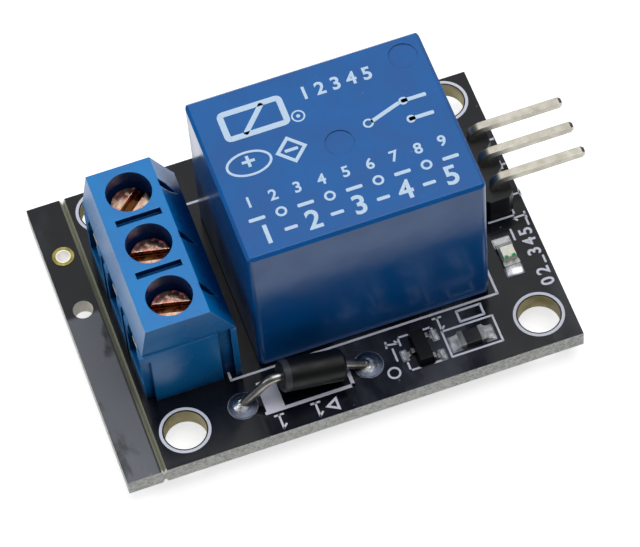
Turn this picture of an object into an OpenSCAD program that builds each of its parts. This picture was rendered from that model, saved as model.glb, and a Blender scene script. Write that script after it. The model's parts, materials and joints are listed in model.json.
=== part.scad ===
// Relay module board: a one-channel relay carrier with a three-pole screw terminal block,
// a bent three-pin header and its diode, transistor, resistor and indicator lamp.
// Millimetres. The origin is the centre of the four mounting holes at the board's underside,
// +X runs along the long side towards the header pins, +Y to the back edge and +Z up.

/* [Board] */
// Thickness of the circuit board
board_th = 1.6; // [1:0.1:2.4]
// Free board between the scored line and the terminal block
margin_left = 0.83; // [0.7:0.01:3]
// Free board between the header block and the right edge
margin_right = 1.01; // [0.5:0.01:3]
// Strip in front of the relay that carries the small parts
strip_front = 6.18; // [5.8:0.01:9]
// Strip behind the relay
strip_back = 5.22; // [4:0.01:9]
// Gap between the terminal block and the relay
gap_terminal_relay = 1.54; // [0.8:0.01:4]
// Gap between the relay and the header block
gap_relay_header = 2; // [1.4:0.01:4]
// Bore of the mounting holes
mount_hole_d = 3.4; // [2.4:0.1:3.6]
// Hole centre to the left and right board edges
hole_in_side = 2.65; // [2.2:0.01:4]
// Hole centre to the front edge
hole_in_front = 2.9; // [2.2:0.01:4]
// Hole centre to the back edge
hole_in_back = 2.2; // [2:0.01:4]
// Length of the pin tails under the board
tail_len = 1.6; // [1.4:0.1:3]
// Bore of the plated pin holes
pin_hole_d = 1.2; // [1.15:0.05:1.5]

/* [Break-off rail] */
// Width of the rail along the left edge
rail_wid = 3; // [2.6:0.1:6]
// Width of the scored groove at the surface
groove_wid = 0.45; // [0.2:0.01:0.8]
// Depth of the groove on each face
groove_depth = 0.5; // [0.1:0.01:0.6]
// Bore of the plain tooling hole
tool_hole_d = 1.64; // [0.8:0.02:1.9]
// Tooling hole centre, from the back edge
tool_hole_in = 10.6; // [4:0.1:20]
// Bore of the plated eyelet
eyelet_bore = 1.1; // [0.6:0.02:1.2]
// Outer diameter of the eyelet's ring
eyelet_ring_d = 1.77; // [1.5:0.01:2.2]
// Spacing between the eyelet and the tooling hole
eyelet_pitch = 5.32; // [3:0.01:8]
// Thickness of the eyelet's plating
plating_th = 0.06; // [0.04:0.01:0.1]

/* [Relay body] */
// Length of the relay case
relay_len = 19.2; // [18.6:0.1:24]
// Width of the relay case
relay_wid = 15.5; // [15:0.1:20]
// Top of the relay case above the board
relay_h = 15.4; // [15:0.1:20]
// Wall of the relay case
case_wall = 0.85; // [0.6:0.05:0.9]
// Radius of the case's upright edges
case_edge_r = 0.5; // [0.2:0.05:0.8]
// Chamfer round the top of the case
case_chamfer = 0.25; // [0.1:0.05:0.5]
// Height of the feet that hold the relay off the board
relay_standoff = 0.25; // [0.1:0.05:0.6]
// Diameter of the feet
relay_foot_d = 1.2; // [0.8:0.1:1.6]
// Thickness of the base plate that closes the case
base_th = 1.6; // [1:0.1:2]
// Running fit between base plate and case
base_clear = 0.05; // [0.02:0.01:0.1]
// Diameter of the two round marks in the top
mark_d = 2.3; // [1.5:0.1:3]
// Depth of the round marks
mark_depth = 0.12; // [0.05:0.01:0.3]
// Corner mark, from the right and back faces
mark_in = 1.86; // [1.5:0.01:3]
// Middle mark, from the middle of the case
mark_off = 0.47; // [0:0.01:2]

/* [Relay pins] */
// Common pin, from the left face of the case
common_in = 2.5; // [2.2:0.01:3]
// Contact pins, from the right face of the case
contact_in = 2.5; // [2.3:0.01:2.8]
// Common pin to the two coil pins
coil_pin_run = 2; // [1.6:0.1:2.4]
// Pin rows, from the long faces of the case
row_in = 1.75; // [1.65:0.05:1.95]
// Width of a flat pin
blade_wid = 0.9; // [0.7:0.05:1]
// Thickness of a flat pin
blade_th = 0.5; // [0.4:0.05:0.6]
// Diameter of a coil pin
coil_pin_d = 0.6; // [0.5:0.05:0.8]
// Clearance of the pins in the base plate
blade_clear = 0.05; // [0.02:0.01:0.1]

/* [Relay motor] */
// Sheet thickness of the yoke
yoke_th = 1.2; // [1:0.1:1.4]
// Width of the yoke
yoke_wid = 9; // [7:0.1:9.6]
// Yoke's back face to the middle of the coil
coil_in = 5.85; // [5.8:0.05:6.2]
// Diameter of the winding
coil_d = 8.6; // [7:0.1:8.8]
// Flange diameter of the bobbin
flange_d = 9; // [8.9:0.1:9.2]
// Thickness of a bobbin flange
flange_th = 0.8; // [0.5:0.05:1]
// Width of the lugs that hold the coil pins
lug_wid = 1.5; // [1.2:0.1:1.8]
// Wall of the bobbin tube
tube_wall = 0.7; // [0.4:0.05:1]
// Diameter of the iron core
core_d = 3.8; // [3:0.1:4.4]
// Diameter of the core's pole face
pole_d = 6.8; // [5:0.1:8]
// Thickness of the pole face
pole_th = 0.8; // [0.5:0.05:1]
// Fit between the core and its holes
core_clear = 0.03; // [0.02:0.01:0.08]

/* [Relay contacts] */
// Thickness of the armature plate
armature_th = 1; // [0.8:0.05:1.2]
// Width of the armature plate
armature_wid = 8; // [6:0.1:9.4]
// Length of the armature from its hinge edge
armature_len = 10.9; // [9.5:0.1:11.4]
// Running gap at the hinge edge
hinge_gap = 0.03; // [0.02:0.01:0.08]
// Angle that the armature stands open at rest
open_deg = 2.6; // [1.6:0.1:3]
// Thickness of the contact spring
spring_th = 0.2; // [0.1:0.01:0.25]
// Width of the contact spring
spring_wid = 4; // [3:0.1:5]
// Start of the spring, from the hinge edge
spring_in = 1.4; // [1:0.1:2]
// Diameter of the rivets that hold the spring
rivet_d = 1; // [0.8:0.05:1.2]
// Height of a rivet head
rivet_h = 0.25; // [0.1:0.05:0.3]
// Spacing of the two rivets
rivet_gap = 2.2; // [1.8:0.1:2.6]
// Diameter of a contact face
contact_d = 1.8; // [1.2:0.1:2]
// Height of a contact head
contact_h = 0.35; // [0.2:0.05:0.4]
// Contact pins to the middle of the contacts
contact_back = 0.1; // [0:0.05:0.3]
// Air between touching contacts, so that the faces stay apart
contact_gap = 0.1; // [0.06:0.01:0.15]
// Length of the spring past the moving contact
spring_tip = 1.1; // [1:0.05:1.3]
// Thickness of the arms that carry the fixed contacts
arm_th = 0.4; // [0.3:0.05:0.5]
// Air between the upper arm and the roof of the case
roof_air = 0.6; // [0.3:0.05:1]

/* [Terminal block] */
// Depth of the terminal block
term_depth = 7.62; // [7.4:0.01:9]
// Height of the terminal block
term_h = 10.05; // [9.9:0.05:14]
// Height of the shoulder on both long sides
shoulder_h = 6.77; // [6.6:0.01:7]
// Pole spacing
pole_pitch = 5.08; // [5:0.01:5.4]
// Length of the housing beyond the poles
housing_extra = 0.25; // [0:0.01:0.6]
// Top face, from the wire side
top_in_wire = 0.6; // [0.2:0.01:0.9]
// Top face, from the relay side
top_in_relay = 1.8; // [1.2:0.01:2]
// Step of the upper part at both ends
end_inset = 0.14; // [0.05:0.01:0.3]
// Screw axis, from the wire side
screw_in = 3.34; // [3.2:0.01:3.6]
// Bore of the screwdriver wells
well_d = 3.68; // [3.4:0.02:3.8]
// Wall between two chambers
chamber_wall = 0.9; // [0.6:0.05:1]
// Roof of the chambers under the shoulder
chamber_roof = 0.47; // [0.3:0.01:0.6]
// Width of a wire window
window_wid = 3.4; // [3:0.05:3.8]
// Sill of the wire windows
sill_h = 1.35; // [1.2:0.05:1.6]
// Head of the wire windows
window_h = 4.7; // [4.2:0.05:4.9]
// Reach of the window frames past the wire side
frame_out = 0.1; // [0.05:0.05:0.4]
// Width of a window frame
frame_wid = 4.3; // [4.2:0.05:4.8]
// Top of the window frames and of the gaps between them
frame_h = 5.9; // [5:0.05:6.2]
// Depth of the gaps between the window frames
frame_gap_depth = 0.6; // [0.3:0.05:0.7]
// Plastic left over the tongue slots at the wire side
slot_roof = 0.2; // [0.15:0.05:0.4]
// Width of the notches between the wells
notch_wid = 0.6; // [0.3:0.01:0.8]
// Length of the notches
notch_len = 3.7; // [2:0.1:4.4]
// Depth of the notches
notch_depth = 0.6; // [0.3:0.05:1]
// Length of the slits in the relay-side slope
slit_len = 2.7; // [1.9:0.1:3.2]
// Length of a slit's parallel part
slit_straight = 1.2; // [0.6:0.1:1.8]
// Width of a slit at its top end
slit_wid = 0.75; // [0.3:0.01:0.9]
// Depth of the slits
slit_depth = 0.6; // [0.2:0.05:0.65]
// Width of the dovetail at its mouth
dovetail_wid = 0.9; // [0.6:0.05:1.2]
// Depth of the dovetail
dovetail_depth = 0.4; // [0.2:0.05:0.5]
// Dovetail middle, from the relay side
dovetail_in = 1; // [0.9:0.05:1.6]
// Clearance between a dovetail groove and its tongue
dovetail_clear = 0.06; // [0.02:0.01:0.12]

/* [Clamps] */
// Sheet thickness of the clamp cages
cage_th = 0.6; // [0.5:0.05:0.7]
// Depth of a cage along the wire
cage_depth = 4.6; // [4:0.05:4.7]
// Clearance between a cage and its chamber
cage_clear = 0.1; // [0.05:0.01:0.15]
// Height of a cage's floor above the board
cage_lift = 0.5; // [0.3:0.05:0.7]
// Width of a cage's front tongue
tongue_wid = 2.1; // [1.6:0.05:2.4]
// Sheet thickness of the tongue, which is stamped thinner
tongue_th = 0.3; // [0.2:0.05:0.4]
// Height of the tongue's lip above the board
tongue_h = 4.4; // [4.3:0.05:4.6]
// Reach of the tongue's bend in front of the cage
tongue_bend = 0.35; // [0.3:0.05:0.5]
// Tongue's end behind the wire side
tongue_in = 0.15; // [0:0.01:0.3]
// Width of a solder pin
cage_pin_wid = 0.9; // [0.7:0.05:1]
// Thickness of the clamp plates
plate_th = 0.4; // [0.3:0.05:0.6]
// Length of the clamp plates
plate_len = 3.8; // [3:0.1:4]
// Opening of the clamps as drawn, above their closed stop
clamp_open = 1; // [0:0.05:1.1]
// Play of a clamp plate in its cage
plate_clear = 0.1; // [0.05:0.01:0.2]
// Diameter of the screw shank
shank_d = 2.4; // [2:0.05:2.5]
// Play of the shank in the cage's thread
thread_clear = 0.05; // [0.03:0.01:0.08]
// Diameter of the neck that turns in the clamp plate
neck_d = 1.5; // [1.1:0.05:1.6]
// Play of the head in its well
head_clear = 0.1; // [0.05:0.01:0.15]
// Height of the screw head
head_h = 1; // [0.75:0.05:1.2]
// Cut round the screw head's edge
head_edge = 0.18; // [0.1:0.01:0.25]
// Width of the screwdriver slot
slot_wid = 0.88; // [0.4:0.02:1]
// Depth of the screwdriver slot
slot_depth = 0.65; // [0.3:0.05:0.7]

/* [Header] */
// Width of the header block
header_wid = 2.5; // [2.2:0.01:2.8]
// Height of the header block
header_h = 2.54; // [2:0.01:3]
// Spacing of the header pins
header_pitch = 2.54; // [2.4:0.01:2.8]
// Header middle behind the relay's middle line
header_shift = 2.38; // [2:0.01:4]
// Side of the square pins
pin_side = 0.64; // [0.5:0.01:0.66]
// Height of the pins' level run above the board
pin_h = 3.67; // [3.5:0.01:6]
// Reach of the pins past the board's edge
pin_reach = 5.4; // [3:0.1:8]
// Inner radius of the pins' bend
pin_bend_r = 0.4; // [0.2:0.05:0.45]
// Length of the tapered pin tips
pin_tip_len = 0.25; // [0.1:0.05:1]
// Cut on each side of a pin's tip
pin_tip_in = 0.12; // [0.05:0.01:0.2]
// Corner cut of the header block's segments
header_notch = 0.45; // [0.2:0.05:0.7]

/* [Diode] */
// Diameter of the diode body
diode_d = 2.6; // [2:0.05:2.7]
// Cut round the diode's end faces
diode_edge = 0.2; // [0.1:0.05:0.4]
// Length of the diode body
diode_len = 5.2; // [4:0.1:5.4]
// Spacing of the diode's two holes
diode_pitch = 10.4; // [9.6:0.1:11]
// Diameter of the diode's leads
diode_lead_d = 0.76; // [0.5:0.02:0.86]
// Gap between the diode's low end and the board
diode_gap = 0.15; // [0.1:0.05:0.6]
// Slant of the diode, with its banded end up
diode_slant = 13; // [0:1:15]
// Bend radius of the banded end's lead
lead_bend_a = 1.3; // [0.8:0.05:1.4]
// Bend radius of the other lead
lead_bend_b = 0.8; // [0.6:0.05:0.9]
// Depth below the board's face at which a lead stands upright
lead_land = 0.3; // [0.1:0.05:0.6]
// Diode body's shift from the middle of its holes
diode_shift = 0.54; // [0:0.01:0.6]
// Diode axis in front of the relay
diode_front = 2.84; // [2.2:0.01:3.1]
// Diode's left hole, left of the relay
diode_left = 2.44; // [2:0.01:2.6]
// Diameter of the pads under the diode leads
diode_pad_d = 2.3; // [1.6:0.05:2.4]

/* [Small parts] */
// Length of the transistor body
transistor_len = 2.9; // [2.6:0.05:3.1]
// Width of the transistor body
transistor_wid = 1.3; // [1.1:0.05:1.5]
// Height of the transistor body
transistor_h = 1; // [0.8:0.05:1.2]
// Draft of the transistor body on each side
transistor_draft = 0.1; // [0:0.02:0.2]
// Width over the transistor's leads
transistor_span = 2.5; // [2.3:0.05:2.7]
// Spacing of the transistor's paired leads
transistor_pitch = 1.9; // [1.8:0.05:2.1]
// Transistor's middle, from the relay's left face
transistor_x = 12.3; // [11.5:0.05:12.8]
// Transistor's middle in front of the relay
transistor_front = 3.1; // [2.6:0.05:3.6]
// Width of the transistor's leads
lead_wid = 0.42; // [0.3:0.02:0.5]
// Thickness of the transistor's leads
lead_th = 0.13; // [0.1:0.01:0.2]
// Length of a chip part
chip_len = 2; // [1.8:0.05:2.2]
// Width of a chip part
chip_wid = 1.25; // [1.1:0.05:1.4]
// Thickness of the chip resistor
resistor_th = 0.5; // [0.4:0.05:0.65]
// Length of a chip part's metal end
chip_end = 0.36; // [0.2:0.02:0.5]
// Thickness of the metal ends
end_th = 0.05; // [0.03:0.01:0.08]
// Resistor's middle, from the relay's left face
resistor_x = 16.35; // [16:0.05:16.9]
// Resistor's middle in front of the relay
resistor_front = 3.5; // [2.8:0.05:4]
// Thickness of the indicator lamp's base
lamp_base_th = 0.3; // [0.2:0.05:0.4]
// Length of the lamp's lens
lens_len = 1.25; // [0.9:0.05:1.4]
// Height of the lamp's lens
lens_h = 0.5; // [0.3:0.05:0.7]
// Draft of the lens on each side
lens_draft = 0.1; // [0:0.02:0.2]
// Lamp's middle, right of the relay
lamp_gap = 2.5; // [2:0.05:2.7]
// Lamp's middle in front of the header's middle
lamp_front = 7.52; // [6.6:0.05:8]
// Length of a solder fillet beside a chip part
fillet_len = 0.7; // [0.3:0.05:0.8]
// Height of the solder cones under the board
solder_h = 1.1; // [0.8:0.05:1.3]
// Width of the solder ring round a hole
solder_ring = 0.45; // [0.2:0.05:0.5]
// Height of the solder domes on the diode's pads
dome_h = 0.45; // [0.3:0.05:0.6]

/* [Hidden] */
$fn = 32;
// Overlap that carries a cut cleanly through a face
cut = 0.2;
// Straight stretches of a round lead are this much thinner and reach into its bends
lead_nest = 0.02;
lead_reach = 0.06;

// Board outline, worked out from what stands on it
board_len = margin_left + term_depth + gap_terminal_relay + relay_len + gap_relay_header
    + header_wid + margin_right;
board_wid = strip_front + relay_wid + strip_back;
hole_span_x = board_len - 2 * hole_in_side;
hole_span_y = board_wid - hole_in_front - hole_in_back;
x_left = -hole_span_x / 2 - hole_in_side;
y_front = -hole_span_y / 2 - hole_in_front;
y_back = y_front + board_wid;
tail_drop = board_th + tail_len;

// Places of the main parts
term_x = x_left + margin_left;
relay_x = term_x + term_depth + gap_terminal_relay;
relay_y = y_front + strip_front;
relay_mid_y = relay_y + relay_wid / 2;
header_x = relay_x + relay_len + gap_relay_header + header_wid / 2;
header_y = relay_mid_y + header_shift;
diode_hole_x = relay_x - diode_left;
diode_y = relay_y - diode_front;
transistor_at = [relay_x + transistor_x, relay_y - transistor_front, board_th];
resistor_at = [relay_x + resistor_x, relay_y - resistor_front, board_th];
lamp_at = [relay_x + relay_len + lamp_gap, header_y - lamp_front, board_th];

// Relay: heights above the board, lengths from the case's left face
base_top = relay_standoff + base_th;
roof_z = relay_h - case_wall;
pin_row = relay_wid / 2 - row_in;
yoke_x = common_in + blade_th / 2;
contact_pin_x = relay_len - contact_in;
contact_x = contact_pin_x - contact_back;
contact_run = contact_x - yoke_x;
moving_top = armature_th + spring_th + contact_h;
nc_face_z = roof_z - roof_air - arm_th - contact_h;
hinge_z = nc_face_z - contact_gap - contact_run * sin(open_deg) - moving_top * cos(open_deg);
no_face_z = hinge_z + armature_th - contact_h - contact_gap;
yoke_top = hinge_z - hinge_gap;
yoke_h = yoke_top - base_top;
coil_x = yoke_x + coil_in;
bobbin_z = base_top + yoke_th;
bobbin_top = yoke_top - pole_th;
coil_pin_at = [common_in + coil_pin_run, pin_row];
relay_holes = [
    [common_in, 0],
    [contact_pin_x, pin_row],
    [contact_pin_x, -pin_row],
    [coil_pin_at.x, pin_row],
    [coil_pin_at.x, -pin_row]
];

// Terminal block
poles = 3;
housing_len = poles * pole_pitch + housing_extra;
chamber_wid = pole_pitch - chamber_wall;
chamber_top = shoulder_h - chamber_roof;
cage_wid = chamber_wid - 2 * cage_clear;
cage_top = chamber_top - cage_clear;
cage_inner_wid = cage_wid - 2 * cage_th;
plate_z = cage_lift + cage_th + plate_clear + clamp_open;
head_z = cage_top + cage_clear + clamp_open;
head_r = well_d / 2 - head_clear;
// Turn of each screw's slot, front pole first
slot_turn = [-14, -13, 41];

// Header, diode and holes
header_pins = 3;
diode_mid_x = diode_pitch / 2 + diode_shift;
diode_mid_z = diode_gap + diode_d / 2 * cos(diode_slant) + diode_len / 2 * sin(diode_slant);
tool_y = y_back - tool_hole_in;

function pole_y(i) = (i - (poles - 1) / 2) * pole_pitch;
function header_pin_y(i) = (i - (header_pins - 1) / 2) * header_pitch;

// Frames of the main parts: their own left or middle, on the board's top face
module on_relay() translate([relay_x, relay_mid_y, board_th]) children();
module on_terminal() translate([term_x, relay_mid_y, board_th]) children();
module on_pole(i) on_terminal() translate([screw_in, pole_y(i), 0]) children();
module on_header() translate([header_x, header_y, board_th]) children();
module on_diode() translate([diode_hole_x, diode_y, board_th]) children();

// A profile drawn in X and Z, carried along Y
module along_y(w) rotate([90, 0, 0]) linear_extrude(w, center = true) children();
// A profile drawn in Y and Z, carried along X
module along_x(l) rotate([90, 0, 90]) linear_extrude(l, center = true) children();

module rounded_rect(l, w, r) {
    square([l - 2 * r, w], center = true);
    square([l, w - 2 * r], center = true);
    for (x = [-1, 1], y = [-1, 1])
        translate([x * (l / 2 - r), y * (w / 2 - r)]) circle(r);
}

// A block that is centred in X and Y and narrows by a draft on each side at its top
module drafted_block(l, w, h, draft) {
    intersection() {
        along_y(w) polygon([[-l / 2, 0], [l / 2, 0], [l / 2 - draft, h], [-l / 2 + draft, h]]);
        along_x(l) polygon([[-w / 2, 0], [w / 2, 0], [w / 2 - draft, h], [-w / 2 + draft, h]]);
    }
}

// ---- Board ----

module pin_hole() translate([0, 0, -cut]) cylinder(h = board_th + 2 * cut, d = pin_hole_d);

module groove() {
    half = groove_wid / 2;
    for (z = [0, 1])
        translate([x_left, (y_front + y_back) / 2, z * board_th])
            mirror([0, 0, z])
                along_y(board_wid + 2 * cut)
                    polygon([[-half, 0], [-half, -cut], [half, -cut], [half, 0], [0, groove_depth]]);
}

module circuit_board() {
    color("#1c1d20") difference() {
        translate([x_left - rail_wid, y_front, 0])
            cube([rail_wid + board_len, board_wid, board_th]);
        for (x = [-1, 1], y = [-1, 1])
            translate([x * hole_span_x / 2, y * hole_span_y / 2, -cut])
                cylinder(h = board_th + 2 * cut, d = mount_hole_d);
        groove();
        translate([x_left - rail_wid / 2, tool_y, -cut])
            cylinder(h = board_th + 2 * cut, d = tool_hole_d);
        translate([x_left - rail_wid / 2, tool_y + eyelet_pitch, -cut])
            cylinder(h = board_th + 2 * cut, d = eyelet_bore + 2 * plating_th);
        for (at = relay_holes) translate([relay_x + at.x, relay_mid_y + at.y, 0]) pin_hole();
        for (i = [0 : poles - 1])
            translate([term_x + screw_in, relay_mid_y + pole_y(i), 0]) pin_hole();
        for (i = [0 : header_pins - 1])
            translate([header_x, header_y + header_pin_y(i), 0]) pin_hole();
        for (x = [0, diode_pitch]) translate([diode_hole_x + x, diode_y, 0]) pin_hole();
    }
}

// Plated eyelet of the rail: a thin barrel with a ring on each face
module rail_eyelet() {
    color("#c9a24a")
        translate([x_left - rail_wid / 2, tool_y + eyelet_pitch, 0])
            difference() {
                union() {
                    cylinder(h = board_th, d = eyelet_bore + 2 * plating_th);
                    translate([0, 0, board_th]) cylinder(h = plating_th, d = eyelet_ring_d);
                    translate([0, 0, -plating_th]) cylinder(h = plating_th, d = eyelet_ring_d);
                }
                translate([0, 0, -cut]) cylinder(h = board_th + 2 * cut, d = eyelet_bore);
            }
}

// ---- Relay ----

module relay_case() {
    color("#2f62ad") on_relay() translate([relay_len / 2, 0, 0]) difference() {
        intersection() {
            translate([0, 0, relay_standoff])
                linear_extrude(relay_h - relay_standoff)
                    rounded_rect(relay_len, relay_wid, case_edge_r);
            along_y(relay_wid) case_profile(relay_len);
            along_x(relay_len) case_profile(relay_wid);
        }
        translate([0, 0, relay_standoff - cut])
            linear_extrude(roof_z - relay_standoff + cut)
                square([relay_len - 2 * case_wall, relay_wid - 2 * case_wall], center = true);
        translate([relay_len / 2 - mark_in, relay_wid / 2 - mark_in, relay_h - mark_depth])
            cylinder(h = mark_depth + cut, d = mark_d);
        translate([mark_off, 0, relay_h - mark_depth]) cylinder(h = mark_depth + cut, d = mark_d);
    }
}

// Upright outline of the case with its top corners cut
module case_profile(wid) {
    half = wid / 2;
    polygon([
        [-half, 0], [half, 0], [half, relay_h - case_chamfer], [half - case_chamfer, relay_h],
        [-half + case_chamfer, relay_h], [-half, relay_h - case_chamfer]
    ]);
}

// Straight lower ends of the relay's flat pins, grown by a clearance for the holes they pass
module blade_ends(clear) {
    wid = blade_wid + 2 * clear;
    th = blade_th + 2 * clear;
    translate([common_in - th / 2, -wid / 2, -tail_drop]) cube([th, wid, tail_drop + base_top]);
    for (y = [-1, 1])
        translate([contact_pin_x - wid / 2, y * pin_row - th / 2, -tail_drop])
            cube([wid, th, tail_drop + base_top + cut]);
}

module coil_pin_ends(clear) {
    for (y = [-1, 1])
        translate([coil_pin_at.x, y * coil_pin_at.y, -tail_drop])
            cylinder(h = tail_drop + bobbin_z + flange_th, d = coil_pin_d + 2 * clear);
}

module relay_base() {
    inner_len = relay_len - 2 * case_wall - 2 * base_clear;
    inner_wid = relay_wid - 2 * case_wall - 2 * base_clear;
    rib_y = yoke_wid / 2 + base_clear;
    rib_th = flange_th / 2;
    color("#1b2f57") on_relay() difference() {
        union() {
            translate([relay_len / 2 - inner_len / 2, -inner_wid / 2, relay_standoff])
                cube([inner_len, inner_wid, base_th]);
            for (x = [-1, 1], y = [-1, 1])
                translate([
                    relay_len / 2 + x * (inner_len - relay_foot_d) / 2,
                    y * (inner_wid - relay_foot_d) / 2, 0
                ])
                    cylinder(h = relay_standoff, d = relay_foot_d);
            // Ribs that keep the yoke's foot in line
            for (y = [0, 1])
                mirror([0, y, 0])
                    translate([coil_x, rib_y, base_top]) cube([coil_in, rib_th, yoke_th / 2]);
        }
        blade_ends(blade_clear);
        translate([common_in - blade_th / 2 - blade_clear, -blade_wid / 2 - blade_clear, 0])
            cube([blade_th + 2 * blade_clear, blade_wid + 2 * blade_clear, base_top + cut]);
        coil_pin_ends(blade_clear);
    }
}

module relay_yoke() {
    color("#8d9094") on_relay() difference() {
        along_y(yoke_wid) polygon([
            [yoke_x, base_top], [coil_x + flange_d / 2, base_top],
            [coil_x + flange_d / 2, bobbin_z], [yoke_x + yoke_th, bobbin_z],
            [yoke_x + yoke_th, yoke_top], [yoke_x, yoke_top]
        ]);
        translate([coil_x, 0, base_top - cut])
            cylinder(h = yoke_th + 2 * cut, d = core_d + 2 * core_clear);
    }
}

module relay_bobbin() {
    tube_d = core_d + 2 * core_clear + 2 * tube_wall;
    lug_len = coil_in - coil_pin_run;
    color("#e8e3d4") on_relay() difference() {
        union() {
            translate([coil_x, 0, bobbin_z]) {
                cylinder(h = flange_th, d = flange_d);
                cylinder(h = bobbin_top - bobbin_z, d = tube_d);
                translate([0, 0, bobbin_top - bobbin_z - flange_th])
                    cylinder(h = flange_th, d = flange_d);
            }
            // Lugs that reach out from the lower flange to the coil pins
            for (y = [0, 1])
                mirror([0, y, 0])
                    translate([coil_pin_at.x - lug_wid / 2, yoke_wid / 2 + base_clear, bobbin_z])
                        cube([lug_len, pin_row + lug_wid / 2 - yoke_wid / 2 - 2 * base_clear,
                              flange_th]);
            for (y = [0, 1])
                mirror([0, y, 0])
                    translate([coil_x - flange_d / 2 + yoke_th, 0, bobbin_z])
                        cube([lug_len, yoke_wid / 2 + base_clear, flange_th]);
        }
        translate([coil_x, 0, bobbin_z - cut])
            cylinder(h = bobbin_top - bobbin_z + 2 * cut, d = core_d + 2 * core_clear);
        coil_pin_ends(0);
    }
}

module relay_coil() {
    tube_d = core_d + 2 * core_clear + 2 * tube_wall;
    coil_z = bobbin_z + flange_th;
    color("#b5632f") on_relay() translate([coil_x, 0, coil_z]) difference() {
        cylinder(h = bobbin_top - flange_th - coil_z, d = coil_d);
        translate([0, 0, -cut])
            cylinder(h = bobbin_top - flange_th - coil_z + 2 * cut, d = tube_d);
    }
}

module relay_core() {
    color("#9a9da1") on_relay() translate([coil_x, 0, base_top]) {
        cylinder(h = bobbin_top - base_top, d = core_d);
        translate([0, 0, bobbin_top - base_top]) cylinder(h = pole_th, d = pole_d);
    }
}

// Frame of the moving parts: the hinge edge at the yoke's top, turned to the open rest angle
module on_hinge() {
    on_relay() translate([yoke_x, 0, hinge_z]) rotate([0, -open_deg, 0]) children();
}

module rivet_places() {
    for (x = [0, 1])
        translate([spring_in + rivet_gap * (x + 0.5), 0, 0]) children();
}

module relay_armature() {
    color("#7d8084") on_hinge() {
        linear_extrude(armature_th)
            translate([armature_len / 2, 0])
                rounded_rect(armature_len, armature_wid, armature_th);
        rivet_places() {
            translate([0, 0, armature_th]) cylinder(h = spring_th, d = rivet_d - 2 * rivet_h);
            translate([0, 0, armature_th + spring_th]) cylinder(h = rivet_h, d = rivet_d);
        }
    }
}

module relay_spring() {
    shoulder_x = armature_len - armature_th;
    tip_x = contact_run + spring_tip;
    color("#c98f4e") on_hinge() difference() {
        translate([0, 0, armature_th]) linear_extrude(spring_th) polygon([
            [spring_in, -spring_wid / 2], [shoulder_x, -spring_wid / 2],
            [contact_run, -contact_d / 2 - spring_th], [tip_x, -contact_d / 2 - spring_th],
            [tip_x, contact_d / 2 + spring_th], [contact_run, contact_d / 2 + spring_th],
            [shoulder_x, spring_wid / 2], [spring_in, spring_wid / 2]
        ]);
        rivet_places()
            translate([0, 0, armature_th - cut])
                cylinder(h = spring_th + 2 * cut, d = rivet_d - 2 * rivet_h);
        translate([contact_run, 0, armature_th - cut])
            cylinder(h = spring_th + 2 * cut, d = contact_d / 2);
    }
}

module relay_moving_contact() {
    color("#d9dadb") on_hinge() translate([contact_run, 0, armature_th - contact_h]) {
        cylinder(h = contact_h, d = contact_d);
        translate([0, 0, contact_h]) cylinder(h = spring_th, d = contact_d / 2);
        translate([0, 0, contact_h + spring_th]) cylinder(h = contact_h, d = contact_d);
    }
}

// A contact terminal: a flat pin that rises to an arm, which reaches in to the middle line
module contact_terminal(arm_z) {
    inner = -contact_d / 2;
    outer = pin_row + blade_th / 2;
    along_x(blade_wid) polygon([
        [outer, -tail_drop], [outer, arm_z + arm_th], [inner, arm_z + arm_th],
        [inner, arm_z], [outer - blade_th, arm_z], [outer - blade_th, -tail_drop]
    ]);
}

module relay_nc_terminal() {
    color("#c9b27a") on_relay() translate([contact_pin_x, 0, 0])
        contact_terminal(nc_face_z + contact_h);
}

module relay_nc_contact() {
    color("#d9dadb") on_relay() translate([contact_x, 0, nc_face_z])
        cylinder(h = contact_h, d = contact_d);
}

module relay_no_terminal() {
    color("#c9b27a") on_relay() translate([contact_pin_x, 0, 0]) mirror([0, 1, 0])
        contact_terminal(no_face_z - contact_h - arm_th);
}

module relay_no_contact() {
    color("#d9dadb") on_relay() translate([contact_x, 0, no_face_z - contact_h])
        cylinder(h = contact_h, d = contact_d);
}

// The common terminal lies against the yoke's back and ends in the single pin
module relay_common_terminal() {
    strip_h = yoke_h / 2;
    color("#c9b27a") on_relay() {
        translate([common_in - blade_th / 2, -blade_wid / 2, -tail_drop])
            cube([blade_th, blade_wid, tail_drop + base_top]);
        translate([common_in - blade_th / 2, -spring_wid / 2, base_top])
            cube([blade_th, spring_wid, strip_h]);
    }
}

module relay_coil_pins() color("#cfcfc8") on_relay() coil_pin_ends(0);

// ---- Terminal block ----

module terminal_profile() polygon([
    [0, shoulder_h], [term_depth, shoulder_h],
    [term_depth - top_in_relay, term_h], [top_in_wire, term_h]
]);

// Frame that stands proud round each wire window, with its upper edge cut away to the wall
module window_frame_profile() polygon([
    [-frame_out, 0], [frame_out, 0], [frame_out, frame_h], [0, frame_h],
    [-frame_out, frame_h - frame_out]
]);

// Dovetail drawn in plan, opening towards -Y
module dovetail(clear) {
    half = dovetail_wid / 2 + clear;
    flare = dovetail_depth / 2;
    polygon([
        [-half, -cut], [half, -cut], [half, 0], [half + flare, dovetail_depth + clear],
        [-half - flare, dovetail_depth + clear], [-half, 0]
    ]);
}

// A slit in the relay-side slope: blunt at the top, pointed at the bottom
module slope_slit() {
    slope = atan2(top_in_relay, term_h - shoulder_h);
    translate([term_depth - top_in_relay, 0, term_h])
        rotate([0, 90 - slope, 0])
            translate([0, 0, -slit_depth])
                linear_extrude(slit_depth + cut)
                    polygon([
                        [0, -slit_wid / 2], [slit_straight, -slit_wid / 2], [slit_len, 0],
                        [slit_straight, slit_wid / 2], [0, slit_wid / 2]
                    ]);
}

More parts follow.
